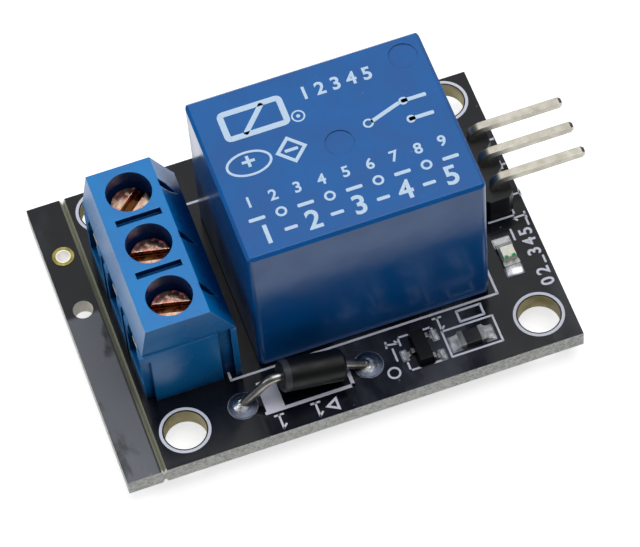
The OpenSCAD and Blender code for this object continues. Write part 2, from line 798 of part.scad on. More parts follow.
module terminal_housing() {
    chamber_len = cage_depth + 2 * cage_clear;
    front_wall = screw_in - chamber_len / 2;
    frame_gap = pole_pitch - frame_wid;
    dovetail_x = term_depth - dovetail_in;
    color("#3f83c8") on_terminal() difference() {
        union() {
            along_y(housing_len) square([term_depth, shoulder_h]);
            along_y(housing_len - 2 * end_inset) terminal_profile();
            for (i = [0 : poles - 1])
                translate([0, pole_y(i), 0]) along_y(frame_wid) window_frame_profile();
            // Dovetail tongue on the back end
            translate([dovetail_x, housing_len / 2, 0])
                linear_extrude(shoulder_h) dovetail(0);
        }
        for (i = [0 : poles - 1]) translate([screw_in, pole_y(i), 0]) {
            translate([0, 0, chamber_top - cut])
                cylinder(h = term_h - chamber_top + 2 * cut, d = well_d);
            translate([-chamber_len / 2, -chamber_wid / 2, -cut])
                cube([chamber_len, chamber_wid, chamber_top + cut]);
            translate([-screw_in - frame_out - cut, -window_wid / 2, sill_h])
                cube([screw_in + frame_out + cut, window_wid, window_h - sill_h]);
            // Slot over the window for the cage's tongue
            translate([-screw_in - frame_out - cut, -tongue_wid / 2 - cage_clear, window_h - cut])
                cube([front_wall + frame_out + 2 * cut, tongue_wid + 2 * cage_clear,
                      shoulder_h - slot_roof - window_h + cut]);
        }
        // Gaps between the window frames and beside the outer ones
        for (i = [0 : poles])
            translate([-frame_out - cut, (i - poles / 2) * pole_pitch - frame_gap / 2, -cut])
                cube([frame_out + cut + frame_gap_depth, frame_gap, frame_h + cut]);
        // Notches between the wells
        for (i = [0 : poles - 2])
            translate([screw_in - notch_len / 2, pole_y(i) + (pole_pitch - notch_wid) / 2,
                       term_h - notch_depth])
                cube([notch_len, notch_wid, notch_depth + cut]);
        for (i = [0 : poles - 1]) translate([0, pole_y(i), 0]) slope_slit();
        translate([dovetail_x, -housing_len / 2, -cut])
            linear_extrude(shoulder_h + cut) dovetail(dovetail_clear);
    }
}

// Tongue drawn in X and Z: it leaves the cage's top, steps down and ends in a level lip
module tongue_profile() {
    bend = -cage_depth / 2 - tongue_bend;
    end = tongue_in - screw_in;
    polygon([
        [-shank_d / 2, cage_top], [bend, cage_top], [bend, tongue_h], [end, tongue_h],
        [end, tongue_h - tongue_th], [bend + tongue_th, tongue_h - tongue_th],
        [bend + tongue_th, cage_top - tongue_th], [-shank_d / 2, cage_top - tongue_th]
    ]);
}

// Clamp cage: a folded sheet ring with a front tongue, the screw's thread and a solder pin
module terminal_cage(i) {
    ring_h = cage_top - cage_lift;
    ring_mid = cage_lift + ring_h / 2;
    color("#d6d3c4") on_pole(i) difference() {
        union() {
            along_x(cage_depth) translate([0, ring_mid]) difference() {
                rounded_rect(cage_wid, ring_h, cage_th);
                rounded_rect(cage_inner_wid, ring_h - 2 * cage_th, cage_th / 2);
            }
            along_y(tongue_wid) tongue_profile();
            translate([-cage_th / 2, -cage_pin_wid / 2, -tail_drop])
                cube([cage_th, cage_pin_wid, tail_drop + cage_lift + cage_th / 2]);
        }
        translate([0, 0, cage_top - cage_th - cut])
            cylinder(h = cage_th + 2 * cut, d = shank_d + 2 * thread_clear);
    }
}

module terminal_cage_1() terminal_cage(0);
module terminal_cage_2() terminal_cage(1);
module terminal_cage_3() terminal_cage(2);

// Clamp plate: hangs on the screw's neck and is pressed on the wire
module clamp_plate(i) {
    wid = cage_inner_wid - 2 * plate_clear;
    color("#c8a878") on_pole(i) translate([0, 0, plate_z]) difference() {
        linear_extrude(plate_th) rounded_rect(plate_len, wid, plate_th);
        translate([0, 0, -cut]) cylinder(h = plate_th + 2 * cut, d = neck_d + 2 * thread_clear);
    }
}

module clamp_plate_1() clamp_plate(0);
module clamp_plate_2() clamp_plate(1);
module clamp_plate_3() clamp_plate(2);

// Clamp screw: slotted head in its well, plain shank through the cage and a turned neck
module clamp_screw(i) {
    shank_z = plate_z + plate_th + thread_clear;
    head_top = head_z + head_h;
    color("#b98a72") on_pole(i) difference() {
        rotate_extrude() polygon([
            [0, plate_z], [neck_d / 2, plate_z], [neck_d / 2, shank_z], [shank_d / 2, shank_z],
            [shank_d / 2, head_z], [head_r, head_z], [head_r, head_top - head_edge],
            [head_r - head_edge, head_top], [0, head_top]
        ]);
        translate([0, 0, head_top - slot_depth])
            rotate([0, 0, slot_turn[i]])
                translate([-head_r - cut, -slot_wid / 2, 0])
                    cube([2 * (head_r + cut), slot_wid, slot_depth + cut]);
    }
}

module clamp_screw_1() clamp_screw(0);
module clamp_screw_2() clamp_screw(1);
module clamp_screw_3() clamp_screw(2);

// ---- Header ----

module header_block() {
    half_w = header_wid / 2;
    half_p = header_pitch / 2;
    color("#17181a") on_header() difference() {
        for (i = [0 : header_pins - 1])
            translate([0, header_pin_y(i), 0]) linear_extrude(header_h) polygon([
                [-half_w, -half_p + header_notch], [-half_w + header_notch, -half_p],
                [half_w - header_notch, -half_p], [half_w, -half_p + header_notch],
                [half_w, half_p - header_notch], [half_w - header_notch, half_p],
                [-half_w + header_notch, half_p], [-half_w, half_p - header_notch]
            ]);
        for (i = [0 : header_pins - 1])
            translate([-pin_side / 2, header_pin_y(i) - pin_side / 2, -cut])
                cube([pin_side, pin_side, header_h + 2 * cut]);
    }
}

// A square pin that rises from its hole, bends over and ends in a tapered tip
module header_pin(i) {
    rise = pin_h - pin_side / 2 - pin_bend_r;
    run_x = pin_side / 2 + pin_bend_r;
    tip_x = header_wid / 2 + margin_right + pin_reach;
    color("#d8d6cf") on_header() translate([0, header_pin_y(i), 0]) {
        translate([-pin_side / 2, -pin_side / 2, -tail_drop])
            cube([pin_side, pin_side, tail_drop + rise]);
        translate([run_x, 0, rise])
            rotate([90, 0, 0]) rotate([0, 0, 90])
                rotate_extrude(angle = 90)
                    translate([pin_bend_r, -pin_side / 2]) square(pin_side);
        intersection() {
            translate([0, 0, pin_h]) along_y(pin_side) pin_run(run_x, tip_x);
            translate([0, 0, pin_h - pin_side / 2]) linear_extrude(pin_side) pin_run(run_x, tip_x);
        }
    }
}

// Outline of the pin's level run with its tapered end
module pin_run(from, to) {
    half = pin_side / 2;
    tip = half - pin_tip_in;
    polygon([
        [from, -half], [to - pin_tip_len, -half], [to, -tip],
        [to, tip], [to - pin_tip_len, half], [from, half]
    ]);
}

module header_pin_1() header_pin(0);
module header_pin_2() header_pin(1);
module header_pin_3() header_pin(2);

// ---- Diode ----

// Frame of the slanted body: its middle, with X along its axis
module on_diode_axis() {
    on_diode() translate([diode_mid_x, 0, diode_mid_z]) rotate([0, diode_slant, 0]) children();
}

module diode_body() {
    r = diode_d / 2;
    color("#1a1a1b")
        on_diode_axis() translate([-diode_len / 2, 0, 0]) rotate([0, 90, 0])
            rotate_extrude() polygon([
                [0, 0], [r - diode_edge, 0], [r, diode_edge], [r, diode_len - diode_edge],
                [r - diode_edge, diode_len], [0, diode_len]
            ]);
}

// One bend of a lead in X and Z: it turns from one heading to the next, both counted down
// from -X, round a centre on the bend's lower side
module lead_bend(centre, r, from, to) {
    translate([centre.x, 0, centre.y])
        rotate([90, 0, 0]) rotate([0, 0, 90 + from])
            rotate_extrude(angle = to - from) translate([r, 0]) circle(d = diode_lead_d);
}

// A lead from the body's end face towards -X: a bend, a straight slope, a second bend and an
// upright tail through the board. Its hole is at x = 0, tip is the end face's middle and
// slant the axis's heading there, counted down from -X.
module diode_lead(tip, slant, r) {
    slope = [tip.x - r * (1 - sin(slant)), tip.y + lead_land - r * cos(slant)];
    dip = atan2(slope.y, slope.x);
    run = norm(slope);
    first = [tip.x + r * sin(slant), tip.y - r * cos(slant)];
    foot = [r * (1 - sin(dip)), r * cos(dip) - lead_land];
    lead_bend(first, r, slant, dip);
    lead_bend([r, -lead_land], r, dip, 90);
    translate([foot.x, 0, foot.y]) rotate([0, 90 - dip, 0]) translate([0, 0, -lead_reach])
        cylinder(h = run + 2 * lead_reach, d = diode_lead_d - lead_nest);
    translate([0, 0, -tail_drop])
        cylinder(h = tail_drop - lead_land + lead_reach, d = diode_lead_d - lead_nest);
}

// Middle of the body's end face, from the hole on its own side
function diode_tip(hole_run, rise) = [
    hole_run - diode_len / 2 * cos(diode_slant),
    diode_mid_z + rise * diode_len / 2 * sin(diode_slant)
];

module diode_lead_a() {
    color("#cfcdc6") on_diode()
        diode_lead(diode_tip(diode_mid_x, 1), -diode_slant, lead_bend_a);
}

module diode_lead_b() {
    color("#cfcdc6") on_diode() translate([diode_pitch, 0, 0]) mirror([1, 0, 0])
        diode_lead(diode_tip(diode_pitch - diode_mid_x, -1), diode_slant, lead_bend_b);
}

// ---- Chip parts ----

module transistor_body() {
    seat = lead_th / 2;
    color("#1b1b1c") translate(transistor_at) translate([0, 0, seat]) {
        drafted_block(transistor_wid, transistor_len, transistor_h - seat, transistor_draft);
    }
}

// A gull-wing lead in X and Z, from inside the body out to its foot
module gull_wing() {
    start = transistor_wid / 2;
    end = transistor_span / 2;
    knee = start + (end - start) / 3;
    level = transistor_h / 2;
    polygon([
        [start - lead_th, level], [knee, level], [knee + lead_th, lead_th], [end, lead_th],
        [end, 0], [knee, 0], [knee - lead_th, level - lead_th], [start - lead_th, level - lead_th]
    ]);
}

module transistor_lead_places() {
    for (y = [-1, 1]) translate([0, y * transistor_pitch / 2, 0]) children();
    mirror([1, 0, 0]) children();
}

module transistor_leads() {
    color("#cbc9c2") translate(transistor_at) difference() {
        transistor_lead_places() along_y(lead_wid) gull_wing();
        translate([0, 0, lead_th / 2])
            drafted_block(transistor_wid, transistor_len, transistor_h - lead_th / 2,
                          transistor_draft);
    }
}

// A chip's block along X, held off the board by the thickness of its metal ends
module chip_block(th) {
    translate([-chip_len / 2, -chip_wid / 2, end_th]) cube([chip_len, chip_wid, th]);
}

module chip_ends(th) {
    difference() {
        for (x = [0, 1])
            mirror([x, 0, 0])
                translate([chip_len / 2 - chip_end, -chip_wid / 2 - end_th, 0])
                    cube([chip_end + end_th, chip_wid + 2 * end_th, th + 2 * end_th]);
        chip_block(th);
    }
}

module resistor_body() color("#26262a") translate(resistor_at) chip_block(resistor_th);
module resistor_ends() color("#cfcdc6") translate(resistor_at) chip_ends(resistor_th);

module on_lamp() translate(lamp_at) rotate([0, 0, 90]) children();

module lamp_base() color("#e9e4cf") on_lamp() chip_block(lamp_base_th);
module lamp_terminals() color("#d3cfc0") on_lamp() chip_ends(lamp_base_th);

module lamp_lens() {
    color("#eee9cf") on_lamp() translate([0, 0, end_th + lamp_base_th])
        drafted_block(lens_len, chip_wid, lens_h, lens_draft);
}

// ---- Solder ----

// Solder of one plated hole: it fills the bore and stands as a cone round the pin's tail
module solder_cone() {
    r = pin_hole_d / 2;
    waist = solder_ring / 3;
    rotate_extrude() polygon([
        [0, board_th], [r, board_th], [r, 0], [r + solder_ring, 0],
        [r + waist, -solder_h / 3], [r - waist / 2, -solder_h], [0, -solder_h]
    ]);
}

module relay_solder() {
    color("#d9dadc") translate([relay_x, relay_mid_y, 0]) difference() {
        for (at = relay_holes) translate(at) solder_cone();
        translate([0, 0, board_th]) {
            blade_ends(0);
            coil_pin_ends(0);
        }
    }
}

module terminal_solder() {
    color("#d9dadc") difference() {
        for (i = [0 : poles - 1])
            translate([term_x + screw_in, relay_mid_y + pole_y(i), 0]) solder_cone();
        for (i = [0 : poles - 1])
            on_pole(i) translate([-cage_th / 2, -cage_pin_wid / 2, -tail_drop])
                cube([cage_th, cage_pin_wid, tail_drop + cut]);
    }
}

module header_solder() {
    color("#d9dadc") difference() {
        for (i = [0 : header_pins - 1])
            translate([header_x, header_y + header_pin_y(i), 0]) solder_cone();
        for (i = [0 : header_pins - 1])
            on_header() translate([-pin_side / 2, header_pin_y(i) - pin_side / 2, -tail_drop])
                cube([pin_side, pin_side, tail_drop + cut]);
    }
}

// The diode's joints also stand up as low domes on the top face
module diode_solder() {
    r = diode_lead_d / 2;
    rim = diode_pad_d / 2;
    color("#d9dadc") difference() {
        for (x = [0, diode_pitch]) translate([diode_hole_x + x, diode_y, 0]) {
            solder_cone();
            translate([0, 0, board_th]) rotate_extrude() polygon([
                [0, 0], [rim, 0], [rim, dome_h / 4], [(r + rim) / 2, dome_h / 2],
                [r, dome_h], [0, dome_h]
            ]);
        }
        diode_lead_a();
        diode_lead_b();
    }
}

// A wedge of solder that leans on a metal end; it runs out towards +X
module solder_wedge(len, wid, h) {
    toe = h / 6;
    along_y(wid) polygon([[0, 0], [len, 0], [len, toe], [len / 3, h / 2], [0, h]]);
}

module chip_solder() {
    reach = chip_len / 2 + end_th;
    color("#d9dadc") {
        for (x = [0, 1]) {
            translate(resistor_at) mirror([x, 0, 0]) translate([reach, 0, 0])
                solder_wedge(fillet_len, chip_wid, resistor_th);
            on_lamp() mirror([x, 0, 0]) translate([reach, 0, 0])
                solder_wedge(fillet_len, chip_wid, lamp_base_th);
        }
        translate(transistor_at) transistor_lead_places()
            translate([transistor_span / 2, 0, 0])
                solder_wedge(fillet_len / 2, 2 * lead_wid, lead_th * 2);
    }
}

circuit_board();
rail_eyelet();
relay_case();
relay_base();
relay_bobbin();
relay_coil();
relay_core();
relay_yoke();
relay_armature();
relay_spring();
relay_moving_contact();
relay_nc_terminal();
relay_nc_contact();
relay_no_terminal();
relay_no_contact();
relay_common_terminal();
relay_coil_pins();
terminal_housing();
terminal_cage_1();
terminal_cage_2();
terminal_cage_3();
clamp_plate_1();
clamp_plate_2();
clamp_plate_3();
clamp_screw_1();
clamp_screw_2();
clamp_screw_3();
header_block();
header_pin_1();
header_pin_2();
header_pin_3();
diode_body();
diode_lead_a();
diode_lead_b();
transistor_body();
transistor_leads();
resistor_body();
resistor_ends();
lamp_base();
lamp_lens();
lamp_terminals();
relay_solder();
terminal_solder();
header_solder();
diode_solder();
chip_solder();
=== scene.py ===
"""Relay module board: finishes, printed marks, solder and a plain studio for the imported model."""

from __future__ import annotations

import json
import logging
import math
from collections.abc import Iterable, Sequence
from dataclasses import dataclass, field
from enum import Enum

import bpy
import numpy as np
from mathutils import Matrix, Vector

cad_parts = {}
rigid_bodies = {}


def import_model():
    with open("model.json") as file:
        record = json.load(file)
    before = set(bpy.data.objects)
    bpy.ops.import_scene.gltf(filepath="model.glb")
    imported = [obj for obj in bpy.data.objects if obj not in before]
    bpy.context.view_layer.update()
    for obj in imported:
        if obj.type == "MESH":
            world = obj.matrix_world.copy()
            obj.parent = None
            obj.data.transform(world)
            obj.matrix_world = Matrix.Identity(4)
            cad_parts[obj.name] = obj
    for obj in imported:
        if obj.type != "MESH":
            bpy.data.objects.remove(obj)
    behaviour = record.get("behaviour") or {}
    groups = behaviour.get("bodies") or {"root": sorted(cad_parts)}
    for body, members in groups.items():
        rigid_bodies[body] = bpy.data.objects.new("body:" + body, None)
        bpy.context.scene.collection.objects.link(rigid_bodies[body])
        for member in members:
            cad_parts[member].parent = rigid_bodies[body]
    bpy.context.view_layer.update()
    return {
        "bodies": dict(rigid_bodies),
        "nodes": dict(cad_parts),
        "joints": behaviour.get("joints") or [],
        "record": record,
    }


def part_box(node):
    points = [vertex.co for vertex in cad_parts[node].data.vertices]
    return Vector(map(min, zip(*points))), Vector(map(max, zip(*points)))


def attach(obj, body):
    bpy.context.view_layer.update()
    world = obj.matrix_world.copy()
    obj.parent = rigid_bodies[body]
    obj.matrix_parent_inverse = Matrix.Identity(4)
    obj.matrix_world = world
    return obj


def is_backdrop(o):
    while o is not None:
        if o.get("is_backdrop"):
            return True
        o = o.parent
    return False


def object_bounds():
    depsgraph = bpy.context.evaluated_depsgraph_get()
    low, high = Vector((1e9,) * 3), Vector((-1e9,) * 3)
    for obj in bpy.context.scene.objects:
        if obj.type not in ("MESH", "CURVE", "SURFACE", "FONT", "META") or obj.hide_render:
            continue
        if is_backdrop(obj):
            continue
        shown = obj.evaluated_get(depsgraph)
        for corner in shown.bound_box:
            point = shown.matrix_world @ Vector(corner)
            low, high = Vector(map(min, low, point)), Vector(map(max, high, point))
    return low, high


LOG = logging.getLogger("relay_module")
MM = 0.001
# Distance between the waves of a wave texture at scale 1
WAVE_STEP = 0.314
# The loaded frame: CAD objects by node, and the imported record
FRAME: dict = {}

Colour = tuple[float, float, float, float]
Box = tuple[Vector, Vector]
Node = bpy.types.Node
Socket = bpy.types.NodeSocket
Tree = bpy.types.NodeTree
Piece = bpy.types.Object


def tone(red: int, green: int, blue: int) -> Colour:
    """Turns a display colour into the linear colour that a shader takes.

    Args:
        red: Red, 0 to 255.
        green: Green, 0 to 255.
        blue: Blue, 0 to 255.

    Returns:
        The linear colour with full alpha.
    """

    def channel(level: int) -> float:
        """Linear value of one channel."""
        share = level / 255
        return share / 12.92 if share <= 0.04045 else ((share + 0.055) / 1.055) ** 2.4

    return (channel(red), channel(green), channel(blue), 1.0)


# ---- Shader nodes ----


class Sheet:
    """A shader node tree with short calls that place and wire its nodes."""

    def __init__(self, tree: Tree) -> None:
        """Keeps the tree and empties it."""
        self.tree = tree
        tree.nodes.clear()

    def feed(self, value: object, target: Socket) -> None:
        """Gives an input a wire, where the value is a socket, or else the plain value.

        Args:
            value: Socket, number, vector or colour.
            target: Input socket.
        """
        if isinstance(value, Socket):
            self.tree.links.new(value, target)
        else:
            target.default_value = value

    def node(self, kind: str, inputs: dict | None = None, **settings: object) -> Node:
        """Adds a node.

        Args:
            kind: Node type without the ShaderNode prefix.
            inputs: Sockets or values for its inputs, by name or index.
            settings: Attributes of the node.

        Returns:
            The new node.
        """
        prefix = "NodeGroup" if kind in ("Input", "Output") else "ShaderNode"
        made = self.tree.nodes.new(prefix + kind)
        for key, value in settings.items():
            setattr(made, key, value)
        for key, value in (inputs or {}).items():
            self.feed(value, made.inputs[key])
        return made

    def math(self, operation: str, first: object, second: object = 0.0, clamp: bool = False) -> Socket:
        """Adds a Math node fed by sockets or numbers; clamp keeps the result within 0 and 1."""
        return self.node("Math", {0: first, 1: second}, operation=operation, use_clamp=clamp).outputs[0]

    def times(self, product: object, *others: object) -> Socket:
        """Multiplies sockets and numbers.

        Args:
            product: First socket or number.
            others: What it is multiplied by, in order.

        Returns:
            The product's socket.
        """
        for value in others:
            product = self.math("MULTIPLY", product, value)
        return product

    def plus(self, first: object, second: object, clamp: bool = False) -> Socket:
        """Sum of two sockets or numbers."""
        return self.math("ADD", first, second, clamp)

    def vector(self, operation: str, *values: object, output: int | str = 0) -> Socket:
        """Adds a Vector Math node fed by sockets or vectors; its output named Value is a number."""
        return self.node("VectorMath", dict(enumerate(values)), operation=operation).outputs[output]

    def mix(self, share: Socket, first: object, second: object) -> Socket:
        """Mixes two colours or colour sockets, from the first at share 0 to the second at share 1."""
        return self.node("Mix", {"Factor": share, 6: first, 7: second}, data_type="RGBA").outputs[2]

    def spread(self, value: Socket, low: float, high: float) -> Socket:
        """Maps a value from 0..1 to low..high."""
        return self.node("MapRange", {"Value": value, "To Min": low, "To Max": high}).outputs[0]

    def step(self, value: Socket, start: float, end: float) -> Socket:
        """Turns a value into a smooth mask that rises from start to end."""
        inputs = {"Value": value, "From Min": start, "From Max": end}
        return self.node("MapRange", inputs, interpolation_type="SMOOTHSTEP").outputs[0]

    def place(self) -> Socket:
        """Object coordinates of the surface."""
        return self.node("TexCoord").outputs["Object"]

    def facing(self) -> Socket:
        """Direction in which the true face looks."""
        return self.node("NewGeometry").outputs["Normal"]

    def axes(self, vector: Socket) -> list[Socket]:
        """Splits a vector into its three parts."""
        return list(self.node("SeparateXYZ", {0: vector}).outputs)

    def from_axis(self, axis: Sequence[float]) -> Socket:
        """Distance of the surface from an upright axis."""
        offset = self.vector("SUBTRACT", self.place(), (*axis, 0.0))
        return self.vector("LENGTH", self.vector("MULTIPLY", offset, (1.0, 1.0, 0.0)), output="Value")

    def noise(self, vector: Socket, size_mm: float, detail: float = 2.0) -> Socket:
        """Adds a noise texture with larger patches of a size in millimetres and finer layers on top."""
        inputs = {"Vector": vector, "Scale": 1 / (size_mm * MM), "Detail": detail}
        return self.node("TexNoise", inputs).outputs[0]

    def waves(self, vector: Socket, step_mm: float, inputs: dict[str, float], **settings: str) -> Socket:
        """Adds a texture of even waves that lie a step in millimetres apart."""
        inputs = {"Vector": vector, "Scale": WAVE_STEP / (step_mm * MM), **inputs}
        return self.node("TexWave", inputs, **settings).outputs["Fac"]

    def group(self, tree: Tree, **inputs: object) -> bpy.types.NodeOutputs:
        """Places a node group with its inputs set by name, and gives its outputs."""
        named = {key.replace("_", " ").capitalize(): value for key, value in inputs.items()}
        return self.node("Group", named, node_tree=tree).outputs


class Group(Sheet):
    """A shader node group in the making."""

    def __init__(self, name: str, inputs: dict[str, float], *outputs: str) -> None:
        """Starts the group.

        Args:
            name: Name of the group.
            inputs: Its number inputs with their usual values.
            outputs: Names of its outputs: Normal is a vector and all others are numbers.
        """
        super().__init__(bpy.data.node_groups.new(name, "ShaderNodeTree"))
        new_socket = self.tree.interface.new_socket
        for label, value in inputs.items():
            new_socket(label, in_out="INPUT", socket_type="NodeSocketFloat").default_value = value
        for label in outputs:
            kind = "NodeSocketVector" if label == "Normal" else "NodeSocketFloat"
            new_socket(label, in_out="OUTPUT", socket_type=kind)
        self.given = self.node("Input").outputs

    def close(self, **results: Socket) -> Tree:
        """Wires the group's outputs by name and gives the finished group."""
        self.node("Output", results)
        return self.tree


class Run(Enum):
    """Way that the lines of drawn metal run, as their count per metre along X, Y and Z."""

    ALONG_X = (900.0, 9000.0, 9000.0)
    ALONG_Z = (9000.0, 9000.0, 900.0)

    def counts(self) -> dict[str, float]:
        """The counts under the input names of the group of drawn lines."""
        return dict(zip(("Along x", "Along y", "Along z"), self.value))


class Effects:
    """Surface effects that several finishes share, each built once as a node group."""

    def __init__(self) -> None:
        """Builds the groups."""
        self.grain = self.cast_grain()
        self.edge = self.eased_edge()
        self.dust = self.settled_dust()
        self.brush = self.drawn_lines()
        self.recess = self.painted_recess_shade()

    def cast_grain(self) -> Tree:
        """Grain of a mould's wall with slow patches in the resin.

        Returns:
            The group, with Height and Patches from 0 to 1.
        """
        group = Group("cast_grain", {"Per metre": 9000.0, "Patch": 260.0}, "Height", "Patches")
        place, given = group.place(), group.given
        inputs = {"Vector": place, "Scale": given["Per metre"], "Detail": 3.0, "Roughness": 0.6}
        fine = group.node("TexNoise", inputs)
        inputs = {"Vector": place, "Scale": given["Patch"], "Detail": 4.0, "Roughness": 0.55}
        slow = group.node("TexNoise", inputs)
        return group.close(Height=fine.outputs[0], Patches=group.step(slow.outputs[0], 0.3, 0.7))

    def eased_edge(self) -> Tree:
        """Small radius on sharp edges, as light sees it.

        Returns:
            The group, with Normal and an Edge mask.
        """
        group = Group("eased_edge", {"Radius": 0.08 * MM}, "Normal", "Edge")
        eased = group.node("Bevel", {"Radius": group.given["Radius"]}, samples=6).outputs[0]
        same = group.vector("DOT_PRODUCT", eased, group.facing(), output="Value")
        return group.close(Normal=eased, Edge=group.step(group.math("SUBTRACT", 1.0, same), 0.01, 0.16))

    def settled_dust(self) -> Tree:
        """Specks of dust on faces that look up.

        Returns:
            The group, with a Dust mask.
        """
        group = Group("settled_dust", {"Amount": 0.3}, "Dust")
        place = group.place()
        cells = group.node("TexVoronoi", {"Vector": place, "Scale": 900.0, "Randomness": 1.0})
        specks = group.step(cells.outputs["Distance"], 0.09, 0.03)
        fields = group.step(group.noise(place, 2.2), 0.5, 0.68)
        up = group.step(group.axes(group.facing())[2], 0.5, 0.95)
        return group.close(Dust=group.times(specks, fields, up, group.given["Amount"]))

    def painted_recess_shade(self) -> Tree:
        """Painted shade deep in slots and wells, from ambient occlusion.

        Returns:
            The group, with a mask of the painted shade.
        """
        group = Group("painted_recess_shade", {"Reach": 4.5 * MM}, "Soil")
        open_sky = group.node("AmbientOcclusion", {"Distance": group.given["Reach"]}, samples=8)
        ragged = group.times(group.noise(group.place(), 0.7), 0.08)
        uneven = group.math("SUBTRACT", open_sky.outputs["AO"], ragged)
        return group.close(Soil=group.step(uneven, 0.56, 0.4))

    def drawn_lines(self) -> Tree:
        """Fine lines that drawing or brushing leaves, long along one axis.

        Returns:
            The group, with Lines from 0 to 1.
        """
        counts = Run.ALONG_X.counts()
        group = Group("drawn_lines", counts, "Lines")
        parts = group.axes(group.place())
        scaled = {way: group.times(parts[way], group.given[label]) for way, label in enumerate(counts)}
        joined = group.node("CombineXYZ", scaled).outputs[0]
        lines = group.node("TexNoise", {"Vector": joined, "Scale": 1.0, "Detail": 3.0})
        return group.close(Lines=lines.outputs[0])


class Coating(Sheet):
    """Sheet of a new material, with its Principled shader and the shared effects at hand."""

    def __init__(self, name: str, effects: Effects | None = None) -> None:
        """Starts the material.

        Args:
            name: Name of the material.
            effects: Shared node groups.
        """
        self.material = bpy.data.materials.new(name)
        self.material.use_nodes = True
        super().__init__(self.material.node_tree)
        self.effects = effects
        shader = self.node("BsdfPrincipled")
        self.shader = shader.inputs
        self.node("OutputMaterial", {"Surface": shader.outputs[0]})

    def fix(self, constants: dict[str, object]) -> None:
        """Sets the shader values that are the same all over the surface."""
        for label, value in constants.items():
            self.shader[label].default_value = value

    def grain(self, per_metre: float, patch: float) -> tuple[Socket, Socket]:
        """Height and patches of a grain."""
        outputs = self.group(self.effects.grain, per_metre=per_metre, patch=patch)
        return outputs["Height"], outputs["Patches"]

    def edge(self, radius_mm: float) -> tuple[Socket, Socket]:
        """Normal and mask of eased edges."""
        outputs = self.group(self.effects.edge, radius=radius_mm * MM)
        return outputs["Normal"], outputs["Edge"]

    def dust(self, amount: float) -> Socket:
        """Mask of settled dust."""
        return self.group(self.effects.dust, amount=amount)["Dust"]

    def wear(
        self, colour: Socket, roughness: Socket, height: Socket, relief_mm: float,
        normal: Socket | None = None,
    ) -> None:
        """Wires the surface to the shader.

        Args:
            colour: Its colour.
            roughness: Its roughness.
            height: Height of its relief, from 0 to 1.
            relief_mm: Height of the relief at 1, in millimetres.
            normal: Normal that the relief lies on, where it isn't the face's.
        """
        bump = self.node("Bump", {"Strength": 1.0, "Distance": relief_mm * MM, "Height": height})
        if normal is not None:
            self.feed(normal, bump.inputs["Normal"])
        wires = {"Base Color": colour, "Roughness": roughness, "Normal": bump.outputs[0]}
        for label, source in wires.items():
            self.feed(source, self.shader[label])


# ---- Finishes ----


@dataclass(frozen=True)
class Finish:
    """A look that surfaces can be given."""

    name: str

    def paint(self, sheet: Coating) -> None:
        """Draws what varies over the surface."""
        raise NotImplementedError

    def material(self, effects: Effects) -> bpy.types.Material:
        """Makes the material.

        Args:
            effects: Shared node groups.

        Returns:
            The finished material.
        """
        sheet = Coating(self.name, effects)
        self.paint(sheet)
        return sheet.material


@dataclass(frozen=True)
class Moulding(Finish):
    """Moulded plastic: resin colour with slow patches, grain, eased edges with a painted highlight, painted
    shade deep in recesses where it is asked for, and a little dust.
    """

    resin: Colour
    deep: Colour
    # Colour of the painted highlight on eased edges
    edge_highlight: Colour
    roughness: float = 0.42
    roughness_run: float = 0.1
    grain_mm: float = 0.11
    relief_mm: float = 0.0016
    patch_mm: float = 3.5
    edge_mm: float = 0.09
    dust: float = 0.25
    gloss: float = 0.5
    # Share of painted shade deep in recesses, and the colour of that shade
    recess_shade: float = 0.0
    grime_and_recess_shade: Colour = tone(2, 36, 88)
    lint: Colour = tone(205, 203, 196)

    def paint(self, sheet: Coating) -> None:
        """Mixes the resin's colours, painted shade deep in recesses, a painted highlight on eased edges and
        dust.

        Args:
            sheet: Sheet of the material.
        """
        sheet.fix({"Specular IOR Level": self.gloss, "IOR": 1.5})
        height, patches = sheet.grain(1 / (self.grain_mm * MM), 1 / (self.patch_mm * MM))
        normal, edge = sheet.edge(self.edge_mm)
        dust = sheet.dust(self.dust)
        resin = sheet.mix(patches, self.deep, self.resin)
        # Painted shade: deep in recesses the resin darkens towards the shade colour and loses its reflections
        if self.recess_shade > 0:
            recess_shade_share = sheet.times(sheet.group(sheet.effects.recess)["Soil"], self.recess_shade)
            resin = sheet.mix(recess_shade_share, resin, self.grime_and_recess_shade)
            sheet.feed(sheet.spread(recess_shade_share, self.gloss, 0.05), sheet.shader["Specular IOR Level"])
        # Painted highlight: eased edges are lightened towards the highlight colour
        edge_highlight = sheet.mix(sheet.times(edge, 0.55), resin, self.edge_highlight)
        half_run = self.roughness_run / 2
        rough = sheet.spread(patches, self.roughness + half_run, self.roughness - half_run)
        rough = sheet.plus(rough, sheet.times(dust, 0.3), True)
        sheet.wear(sheet.mix(dust, edge_highlight, self.lint), rough, height, self.relief_mm, normal)


@dataclass(frozen=True)
class DrawnMetal(Finish):
    """Sheet, wire or pin: drawn lines, tarnish in patches and bright edges."""

    bright: Colour
    tarnish: Colour
    roughness: float = 0.28
    roughness_run: float = 0.16
    run: Run = Run.ALONG_X
    relief_mm: float = 0.0012
    patch_mm: float = 1.2
    edge_mm: float = 0.04
    grain: float = 14000.0

    def paint(self, sheet: Coating) -> None:
        """Mixes tarnish and bright edges, and lays the drawn lines on them.

        Args:
            sheet: Sheet of the material.
        """
        sheet.fix({"Metallic": 1.0})
        _, patches = sheet.grain(self.grain, 1 / (self.patch_mm * MM))
        lines = sheet.group(sheet.effects.brush, **self.run.counts())["Lines"]
        normal, edge = sheet.edge(self.edge_mm)
        metal = sheet.mix(patches, self.tarnish, self.bright)
        metal = sheet.mix(sheet.times(edge, 0.5), metal, self.bright)
        half_run = self.roughness_run / 2
        rough = sheet.spread(lines, self.roughness - half_run, self.roughness + half_run)
        sheet.wear(metal, rough, lines, self.relief_mm, normal)


